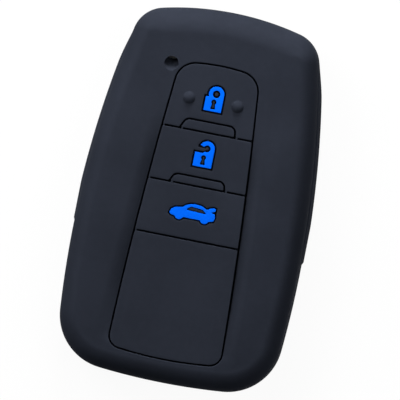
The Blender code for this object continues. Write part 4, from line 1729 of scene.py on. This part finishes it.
@dataclass(frozen=True)
class Padlock:
    """Sizes of the two padlock symbols."""

    closed_half_width: float = 1.87 * MM
    closed_height: float = 2.98 * MM
    closed_radius: float = 1.62 * MM
    closed_rise: float = 0.72 * MM
    closed_eye: float = 0.78 * MM
    closed_shift: float = 0.08 * MM
    open_half_width: float = 1.98 * MM
    open_height: float = 2.95 * MM
    open_radius: float = 1.59 * MM
    open_rise: float = 1 * MM
    open_eye: float = 0.7 * MM
    open_start: float = math.radians(-120)
    open_end: float = math.radians(158)
    open_foot: float = 0.75 * MM
    open_shift: float = 0.22 * MM
    keyhole_radius: float = 0.52 * MM
    keyhole_above_base: float = 1.98 * MM
    keyhole_slot: float = 1.5 * MM
    keyhole_half_width: float = 0.52 * MM
    keyhole_neck: float = 0.32 * MM
    keyhole_neck_growth: float = 0.7
    moat: float = 0.38 * MM
    eye_moat: float = 0.4 * MM
    keyhole_moat: float = 0.32 * MM
    corner: float = 0.12 * MM
    steps: int = 28

    def _placed(self, shift: float, *loops: Array) -> tuple[Array, ...]:
        """Loops with round corners, moved to their place across the button."""
        return tuple(softened(loop, self.corner) + np.array([shift, 0]) for loop in loops)

    def _keyhole(self, base: float, grown: float) -> Array:
        """Round hole with a slot below it that widens downwards.

        The arc's second and third points go, which leaves room to soften the corner there.

        Args:
            base: Low end of the padlock's body.
            grown: How far the edge moves outwards.

        Returns:
            The points of the loop.
        """
        centre = (0, base + self.keyhole_above_base)
        radius = self.keyhole_radius + grown
        neck = self.keyhole_neck + self.keyhole_neck_growth * grown
        start = -math.pi / 2 + math.asin(neck / radius)
        right = np.delete(arc(centre, radius, start, math.pi / 2, self.steps // 2), (1, 2), axis=0)
        foot = (self.keyhole_half_width + grown, centre[1] - self.keyhole_slot - grown)
        return mirrored(np.concatenate([[foot], right]))

    def _closed_centre(self, base: float) -> Pair:
        """Centre of the shut padlock's shackle."""
        return self.closed_half_width - self.closed_radius, base + self.closed_height + self.closed_rise

    def _closed_edge(self, base: float, grown: float) -> Array:
        """Outline of the shut padlock: its shackle ends flush on the right and steps in on the left.

        The arc's last points but one go, which leaves room to soften the corner there.

        Args:
            base: Low end of the padlock's body.
            grown: How far the edge moves outwards.

        Returns:
            The points of the loop.
        """
        centre = self._closed_centre(base)
        radius, side = self.closed_radius + grown, self.closed_half_width + grown
        body_top = base + self.closed_height + grown
        dip = math.asin((centre[1] - body_top) / radius)
        shackle = np.delete(arc(centre, radius, 0, math.pi + dip, 2 * self.steps), (-4, -3, -2), axis=0)
        return np.concatenate([[(side, base - grown)], shackle, [(-side, body_top), (-side, base - grown)]])

    def _open_edge(self, base: float, grown: float) -> Array:
        """Outline of the open padlock, whose shackle's eye is open towards the left.

        Args:
            base: Low end of the padlock's body.
            grown: How far the edge moves outwards.

        Returns:
            The points of the loop.
        """
        body_top, side = base + self.open_height + grown, self.open_half_width + grown
        centre = (self.open_half_width - self.open_radius, base + self.open_height + self.open_rise)
        end = self.open_end + grown / ((self.open_radius + self.open_eye) / 2)
        outer = arc(centre, self.open_radius + grown, 0, end, self.steps)
        inner = arc(centre, self.open_eye - grown, end, self.open_start, self.steps)
        body = [
            (centre[0] - self.open_foot, body_top), (-side, body_top),
            (-side, base - grown), (side, base - grown),
        ]
        return np.concatenate([outer, inner, body])

    def closed(self, base: float) -> Mark:
        """A shut padlock with its shackle's eye and its keyhole.

        Args:
            base: Low end of its body.

        Returns:
            Its plan.
        """
        eye = self._closed_centre(base)
        fill, pocket, *holes = self._placed(
            self.closed_shift, self._closed_edge(base, 0), self._closed_edge(base, self.moat),
            circle(eye, self.closed_eye, self.steps), self._keyhole(base, 0),
            circle(eye, self.closed_eye - self.eye_moat, self.steps), self._keyhole(base, -self.keyhole_moat),
        )
        return Mark(fill, tuple(holes[:2]), pocket, tuple(holes[2:]))

    def opened(self, base: float) -> Mark:
        """An open padlock with its keyhole.

        Args:
            base: Low end of its body.

        Returns:
            Its plan.
        """
        fill, pocket, hole, island = self._placed(
            self.open_shift, self._open_edge(base, 0), self._open_edge(base, self.moat),
            self._keyhole(base, 0), self._keyhole(base, -self.keyhole_moat),
        )
        return Mark(fill, (hole,), pocket, (island,))


@dataclass(frozen=True)
class CarSign:
    """Sizes of the car symbol, which faces left with its boot lid up."""

    length: float = 9.62 * MM
    height: float = 3.75 * MM
    corner: float = 0.25 * MM
    wheel_radius: float = 0.98 * MM
    sill_share: float = 0.16
    wheel_shares: Pair = (0.221, 0.78)
    tail_shares: tuple[Pair, ...] = ((0.976, 0.22), (1.0, 0.43), (0.985, 0.64))
    lid_gap_share: Pair = (0.885, 0.69)
    lid_to_nose_shares: tuple[Pair, ...] = (
        (0.985, 0.79), (0.99, 0.94), (0.932, 0.975), (0.854, 0.908), (0.793, 0.797), (0.725, 0.908),
        (0.647, 0.972), (0.516, 1.0), (0.406, 0.945), (0.34, 0.862), (0.261, 0.719), (0.1, 0.645),
        (0.03, 0.512), (0.0, 0.29), (0.035, 0.2),
    )
    window_shares: tuple[Pair, ...] = ((0.33, 0.6), (0.82, 0.55), (0.7, 0.76), (0.45, 0.82))
    moat: float = 0.3 * MM
    island_moat: float = 0.16 * MM
    wheel_steps: int = 14
    corner_steps: int = 7
    shift: float = 0.2 * MM

    def _placed(self, shares: Sequence[Pair], base: float) -> Array:
        """Points from shares of the car's length and height."""
        along, up = np.array(shares).T
        return np.column_stack([self.length * (along - 0.5) + self.shift, base + self.height * up])

    def _edge(self, base: float, grown: float, gap: tuple[Pair, ...]) -> Array:
        """Outline of the car on its two wheels.

        Args:
            base: Place that the wheels stand on.
            grown: How far the edges move outwards.
            gap: The inner end of the gap under the boot lid, or nothing.

        Returns:
            The outline, its body's corners round.
        """
        body = self._placed((*self.tail_shares, *gap, *self.lid_to_nose_shares), base)
        body = softened(offset(body, grown), self.corner, self.corner_steps, least_turn=0)
        sill, axle = base + self.height * self.sill_share, base + self.wheel_radius
        radius = self.wheel_radius + grown
        dip = math.asin((axle - sill + grown) / radius)
        turn = (math.pi + dip, 2 * math.pi - dip)
        wheels = [
            arc((self.length * (share - 0.5) + self.shift, axle), radius, *turn, self.wheel_steps)
            for share in self.wheel_shares
        ]
        return np.concatenate([body, *wheels])

    def mark(self, base: float) -> Mark:
        """The car and its window.

        Args:
            base: Place that the wheels stand on.

        Returns:
            Its plan.
        """
        window = self._placed(self.window_shares, base)
        return Mark(
            self._edge(base, 0, (self.lid_gap_share,)),
            (softened(window, self.corner, least_turn=0),),
            self._edge(base, self.moat, ()),
            (softened(offset(window, -self.island_moat), self.island_moat, least_turn=0),),
        )


@dataclass
class PressPad:
    """A button: a thin rim over the ledge, a boss under its middle, and a filled symbol."""

    heights: Heights
    plan: PanelPlan
    piece: Piece
    mark_piece: Piece
    mark: Mark
    low_line: float
    high_line: float | None
    notch_rise: float | None
    domes: tuple[Dome, ...] = ()
    edge_round: float = 0.1 * MM
    corner_round: float = 0.3 * MM
    under_round: float = 0.08 * MM
    boss_clearance: float = 0.5 * MM
    boss_corner: float = 0.8 * MM
    skirt_clearance: float = 0.06 * MM
    skirt_inset: float = 0.03 * MM
    skirt_corner: float = 0.2 * MM
    boss_round: float = 0.4 * MM
    bridge_width: float = 0.4 * MM
    end_bridge_inset: float = 0.03 * MM
    end_bridge_width: float = 0.28 * MM
    bridge_root: float = 0.6 * MM
    pocket_depth: float = 0.7 * MM
    pocket_round: float = 0.03 * MM
    pocket_steps: int = 3
    fill_recess: float = 0.08 * MM
    fill_seat: float = 0.02 * MM
    fill_round: float = 0.05 * MM
    island_drop: float = 0.08 * MM
    face_spacing: float = 0.55 * MM
    pocket_spacing: float = 0.5 * MM
    island_spacing: float = 0.3 * MM
    fill_spacing: float = 0.45 * MM

    @property
    def low(self) -> float:
        """Place of the button's low edge."""
        return self.low_line + self.plan.groove / 2

    @property
    def high(self) -> float | None:
        """Place of the button's high edge, or None where the panel's own outline ends it."""
        return None if self.high_line is None else self.high_line - self.plan.groove / 2

    def outline(self) -> Array:
        """The button's plan, which has a notch round the divider below it, if there is one.

        Returns:
            The outline of its face.
        """
        side = self.plan.right_side(self.low, self.high, 0)
        if self.notch_rise is None:
            return softened(mirrored(side), self.corner_round)
        right, left = self.plan.divider_halves(self.low_line, self.plan.groove, self.notch_rise)
        return softened(
            joined(np.concatenate([right[::-1], side]), np.concatenate([left[::-1], side])), self.corner_round
        )

    def lower_step(self, clearance: float, inset: float, corner: float) -> Array:
        """Plan of a step under the rim.

        Args:
            clearance: How far it keeps from the feet of the fields above and below.
            inset: How far it keeps from the button's sides.
            corner: Radius of its corners.

        Returns:
            The outline of the step.
        """
        ends = self.plan.foot_overlap - self.plan.groove / 2 + clearance
        low = self.low + ends
        if self.notch_rise is not None:
            low += self.notch_rise + self.plan.groove
        high = None if self.high is None else self.high - ends
        return softened(mirrored(self.plan.right_side(low, high, inset)), corner)

    @property
    def floor(self) -> float:
        """Height of the floor of the symbol's pocket."""
        return self.heights.panel - self.pocket_depth

    def rim(self) -> bpy.types.Mesh:
        """The button's face with its domes, pocket and islands, and the rim under its edge.

        The pocket's wall and the islands' walls end in a small quarter round at the top.

        Returns:
            A closed mesh.
        """
        level, mark, lip = self.heights.panel, self.mark, self.pocket_round
        surface = Surface(self.heights.crowned)
        holes = [offset(mark.pocket, lip), *(dome.foot() for dome in self.domes)]
        layer = Layer(self.heights.rim, level, self.edge_round, self.under_round, self.face_spacing)
        surface.slab(self.outline(), layer, holes)
        for dome in self.domes:
            dome.add_to(surface, level)
        top = level - self.island_drop
        for loop, way, start in ((mark.pocket, 1, level), *((island, -1, top) for island in mark.islands)):
            rings = [
                at_height(offset(loop, way * inset), start - drop)
                for inset, drop in rounding(lip, self.pocket_steps)
            ]
            surface.wall(np.stack([*rings, at_height(loop, self.floor)]))
        for island in mark.islands:
            surface.sheet(offset(island, -lip), (), top, self.island_spacing)
        surface.sheet(mark.pocket, mark.islands, self.floor, self.pocket_spacing)
        return surface.mesh(self.piece.name)

    def under_parts(self) -> list[bpy.types.Mesh]:
        """The boss and the skirt under the button's face.

        Returns:
            Meshes to be joined to the rim.
        """
        heights, top = self.heights, (self.heights.rim + self.floor) / 2
        boss_inset = self.plan.foot_overlap - self.plan.groove / 2 + self.boss_clearance
        boss = self.lower_step(self.boss_clearance, boss_inset, self.boss_corner)
        skirt = self.lower_step(self.skirt_clearance, self.skirt_inset, self.skirt_corner)
        return [
            heights.slab("boss", boss, Layer(heights.boss, top, self.under_round, self.boss_round)),
            heights.slab("skirt", skirt, Layer(heights.skirt, top, self.skirt_inset, self.skirt_inset)),
        ]

    def bridges(self) -> list[bpy.types.Mesh]:
        """The lands over the groove below the button: at its left end, and at the notch's right foot.

        Returns:
            Meshes to be joined to the rim.
        """
        plan = self.plan
        left = -plan.outline.side_x(self.low, plan.edge_groove / 2 + self.end_bridge_inset)
        lands = [Bridge(float(left), self.end_bridge_width, self.bridge_root)]
        if self.notch_rise is not None:
            right_half, _ = plan.divider_halves(self.low_line, plan.groove, self.notch_rise)
            lands.append(Bridge(right_half[0, 0], self.bridge_width, self.bridge_root))
        return [land.mesh(self.heights, plan, self.low_line, self.heights.rim) for land in lands]

    def filling(self) -> bpy.types.Mesh:
        """The coloured fill: upright walls that end in a quarter round at the top.

        Returns:
            A closed mesh.
        """
        mark, high = self.mark, self.heights.panel - self.fill_recess
        steps = [(0, self.floor + self.fill_seat)]
        steps += [(inset, high - drop) for drop, inset in rounding(self.fill_round, self.pocket_steps)]
        surface = Surface(self.heights.crowned)
        for loop, way in ((mark.fill, -1), *((hole, 1) for hole in mark.holes)):
            surface.wall(np.stack([at_height(offset(loop, way * inset), level) for inset, level in steps]))
        for inset, level in (steps[0], steps[-1]):
            holes = [offset(hole, inset) for hole in mark.holes]
            surface.sheet(offset(mark.fill, -inset), holes, level, self.fill_spacing)
        return surface.mesh(self.mark_piece.name)

    def build(self, finish: bpy.types.Material, fill: bpy.types.Material) -> list[bpy.types.Object]:
        """Builds the button and the fill of its symbol.

        Args:
            finish: Material of the button.
            fill: Material of the symbol.

        Returns:
            The two finished objects.
        """
        button = combined(self.rim(), [*self.under_parts(), *self.bridges()], Merge.JOIN)
        return [self.piece.place(button, finish), self.mark_piece.place(self.filling(), fill)]


# Studio


@dataclass(frozen=True)
class Lamp:
    """A square area lamp that looks at the cover's middle."""

    name: str
    place: tuple[float, float, float]
    size: float
    power: float

    def add(self, target: Vector) -> None:
        """Puts the lamp into the scene.

        Args:
            target: Where it looks.
        """
        data = bpy.data.lights.new(self.name, "AREA")
        data.size, data.energy = self.size, self.power
        item = new_object(self.name, data)
        item.location = self.place
        item.rotation_euler = (target - Vector(self.place)).to_track_quat("-Z", "Y").to_euler()


@dataclass(frozen=True)
class Studio:
    """Pale floor, soft light and the camera at the photograph's angle."""

    distance: float = 900 * MM
    azimuth: float = math.radians(2.05)
    roll: float = math.radians(11.2)
    aim: tuple[float, float, float] = (0.88 * MM, -0.35 * MM, 9 * MM)
    frame_width: float = 84.45 * MM
    sensor: float = 36
    nearest: float = 10 * MM
    floor_size: float = 4
    floor_gap: float = 0.2 * MM
    floor_colour: float = 0.95
    floor_bounce: float = 0.14
    floor_lift: float = 0.94
    shade_reach: float = 40 * MM
    shade_openness: Pair = (0.05, 0.35)
    world_strength: float = 0.1
    horizon: Pair = (0.1, 0.45)
    lamps: tuple[Lamp, ...] = (
        Lamp("low_lamp", (-0.045, 0.48, 0.145), 0.18, 3.4),
        Lamp("high_lamp", (-0.29, 0.225, 0.41), 0.26, 1.6),
        Lamp("fill_lamp", (0.35, 0.1, 0.78), 0.4, 1.95),
        Lamp("left_lamp", (-0.85, 0.1, 0.09), 0.14, 1.8),
    )

    def camera(self) -> None:
        """Looks down on the face, rolled so that the cover leans as it does in the photograph."""
        back = Vector((math.sin(self.azimuth), 0, math.cos(self.azimuth)))
        up = Vector((-math.sin(self.roll), math.cos(self.roll), 0))
        right = up.cross(back).normalized()
        up = back.cross(right)
        data = bpy.data.cameras.new("camera")
        data.sensor_width = self.sensor
        data.lens = self.sensor * self.distance / self.frame_width
        data.clip_start = self.nearest
        item = new_object("camera", data)
        turn = Matrix((right, up, back)).transposed().to_4x4()
        item.matrix_world = Matrix.Translation(Vector(self.aim) + back * self.distance) @ turn
        bpy.context.scene.camera = item

    @staticmethod
    def _seen(tree: NodeTree) -> object:
        """Whether a ray comes from the camera, a glossy surface or through a clear one.

        Args:
            tree: The tree to add to.

        Returns:
            1 where it does and 0 elsewhere.
        """
        path = tree.add("LightPath")
        seen = path.outputs["Is Camera Ray"]
        for name in ("Is Glossy Ray", "Is Transmission Ray"):
            seen = tree.math(Calc.MAXIMUM, seen, path.outputs[name])
        return seen

    def floor(self) -> None:
        """A wide pale plane. Part of the white that is seen is its own, but not close to the cover.

        The openness of a place tells how close it is, so that the cover keeps its shadow.
        """
        reach = self.floor_size / 2
        corners = [(-reach, -reach), (reach, -reach), (reach, reach), (-reach, reach)]
        mesh = bpy.data.meshes.new("floor")
        mesh.from_pydata([(x, y, -self.floor_gap) for x, y in corners], [], [(0, 1, 2, 3)])
        material = bpy.data.materials.new("pale_floor")
        tree = NodeTree(material)
        seen = self._seen(tree)
        grey, pale = rgba((1, 1, 1), self.floor_bounce), rgba((1, 1, 1), self.floor_colour)
        plain = tree.add("BsdfDiffuse", Color=tree.mixed(seen, grey, pale))
        white = tree.add("Emission", Color=WHITE, Strength=1.0)
        openness = tree.add("AmbientOcclusion", Distance=self.shade_reach).outputs["AO"]
        clear = tree.product(seen, tree.ranged(openness, self.shade_openness))
        tree.finish(tree.shaders_mixed(tree.product(clear, self.floor_lift), plain, white))
        mesh.materials.append(material)
        new_object("floor", mesh)

    def world(self) -> None:
        """An even pale surround, whose low part is white where it is seen."""
        world = bpy.data.worlds.new("studio")
        tree = NodeTree(world)
        even = tree.add("Background", Color=WHITE, Strength=self.world_strength)
        white = tree.add("Background", Color=WHITE, Strength=1.0)
        way = tree.add("SeparateXYZ", Vector=tree.add("TexCoord").outputs["Generated"])
        low = tree.ranged(way.outputs["Z"], self.horizon, (1, 0))
        share = tree.product(self._seen(tree), low)
        tree.finish(tree.shaders_mixed(share, even, white), "OutputWorld")
        bpy.context.scene.world = world

    def build(self) -> None:
        """Sets up the whole studio."""
        scene = bpy.context.scene
        scene.view_settings.view_transform = "Standard"
        self.camera()
        self.floor()
        self.world()
        for lamp in self.lamps:
            lamp.add(Vector(self.aim))


@dataclass(frozen=True)
class Layout:
    """Where the panel, its symbols and its domes lie on the cover."""

    half_length: float = 80 * MM / 2
    panel_below_top: float = 12.1 * MM
    panel_above_bottom: float = 5.45 * MM
    side_radius: float = 909 * MM
    side_lean: float = 0.03
    lean_above_bottom: float = 10.4 * MM
    lean_half_width: float = 11.96 * MM
    lock_mark: float = 4.57 * MM
    unlock_mark: float = 4.15 * MM
    trunk_mark: float = 3.85 * MM
    dome_level: float = 6.55 * MM
    dome_across: float = 5.15 * MM
    upper_bridge: float = 0.3 * MM
    lower_bridge: float = 0.45 * MM

    def plan(self) -> PanelPlan:
        """The panel's plan.

        Its sides are long arcs that lean in towards the top. They are placed by the level at
        which they lean by side_lean: their widest place is that times the radius below it,
        and wider by half of that times the lean.

        Returns:
            The plan, whose outline is the middle of the groove round the panel.
        """
        level, radius, lean = self.lean_above_bottom - self.half_length, self.side_radius, self.side_lean
        return PanelPlan(
            BowedOutline(
                top=self.half_length - self.panel_below_top,
                bottom=self.panel_above_bottom - self.half_length,
                half_width=self.lean_half_width + radius * lean**2 / 2,
                widest=level - lean * radius,
                side_radius=radius,
                top_radius=42 * MM,
                bottom_radius=82 * MM,
                top_corner=4.4 * MM,
                bottom_corner=2.6 * MM,
            )
        )

    def dividers(self, heights: Heights, plan: PanelPlan) -> list[Divider]:
        """The two fixed islands between the buttons.

        Args:
            heights: Heights through the front wall.
            plan: Plan of the panel.

        Returns:
            The islands, still to be built.
        """
        return [
            Divider(
                heights, plan, Piece(f"{name}_divider_island", f"{name}_divider", Body.COVER), line,
                rise, bridge,
            )
            for name, line, rise, bridge in (
                ("upper", plan.upper_line, plan.upper_rise, self.upper_bridge),
                ("lower", plan.lower_line, plan.lower_rise, self.lower_bridge),
            )
        ]

    def pads(self, heights: Heights, plan: PanelPlan) -> list[PressPad]:
        """The three buttons with their symbols.

        Args:
            heights: Heights through the front wall.
            plan: Plan of the panel.

        Returns:
            The buttons from the top down, still to be built.
        """
        padlock, dome_line = Padlock(), plan.upper_line + self.dome_level
        domes = tuple(Dome((side * self.dome_across, dome_line)) for side in (-1, 1))
        upper, lower, low = plan.upper_line, plan.lower_line, plan.panel_line
        return [
            PressPad(
                heights, plan, Piece(f"{name}_pad", f"{name}_button", body),
                Piece(f"{name}_fill", f"{name}_symbol", body, Slot.BLUE),
                mark, low_line, high_line, rise, raised,
            )
            for name, body, mark, low_line, high_line, rise, raised in (
                ("lock", Body.LOCK, padlock.closed(upper + self.lock_mark), upper, None,
                 plan.upper_rise, domes),
                ("unlock", Body.UNLOCK, padlock.opened(lower + self.unlock_mark), lower, upper,
                 plan.lower_rise, ()),
                ("trunk", Body.TRUNK, CarSign().mark(low + self.trunk_mark), low, lower, None, ()),
            )
        ]


def main() -> None:
    """Builds the studio, the finishes and every piece in order."""
    logging.basicConfig(level=logging.INFO, format="%(name)s: %(message)s")
    Studio().build()
    black = Silicone("matt_black_silicone", (0.0225, 0.0262, 0.037)).material()
    blue = Silicone(
        "blue_silicone", (0.001, 0.135, 0.93), cloud_share=0.04, dust_share=0.0, rubbed_lift=1.0
    ).material()

    heights, layout = Heights(), Layout()
    plan = layout.plan()
    for part in (Sleeve(heights, plan), LowerPanel(heights, plan), *layout.dividers(heights, plan)):
        part.build(black)
    for pad in layout.pads(heights, plan):
        pad.build(black, blue)


if __name__ == "__main__":
    main()
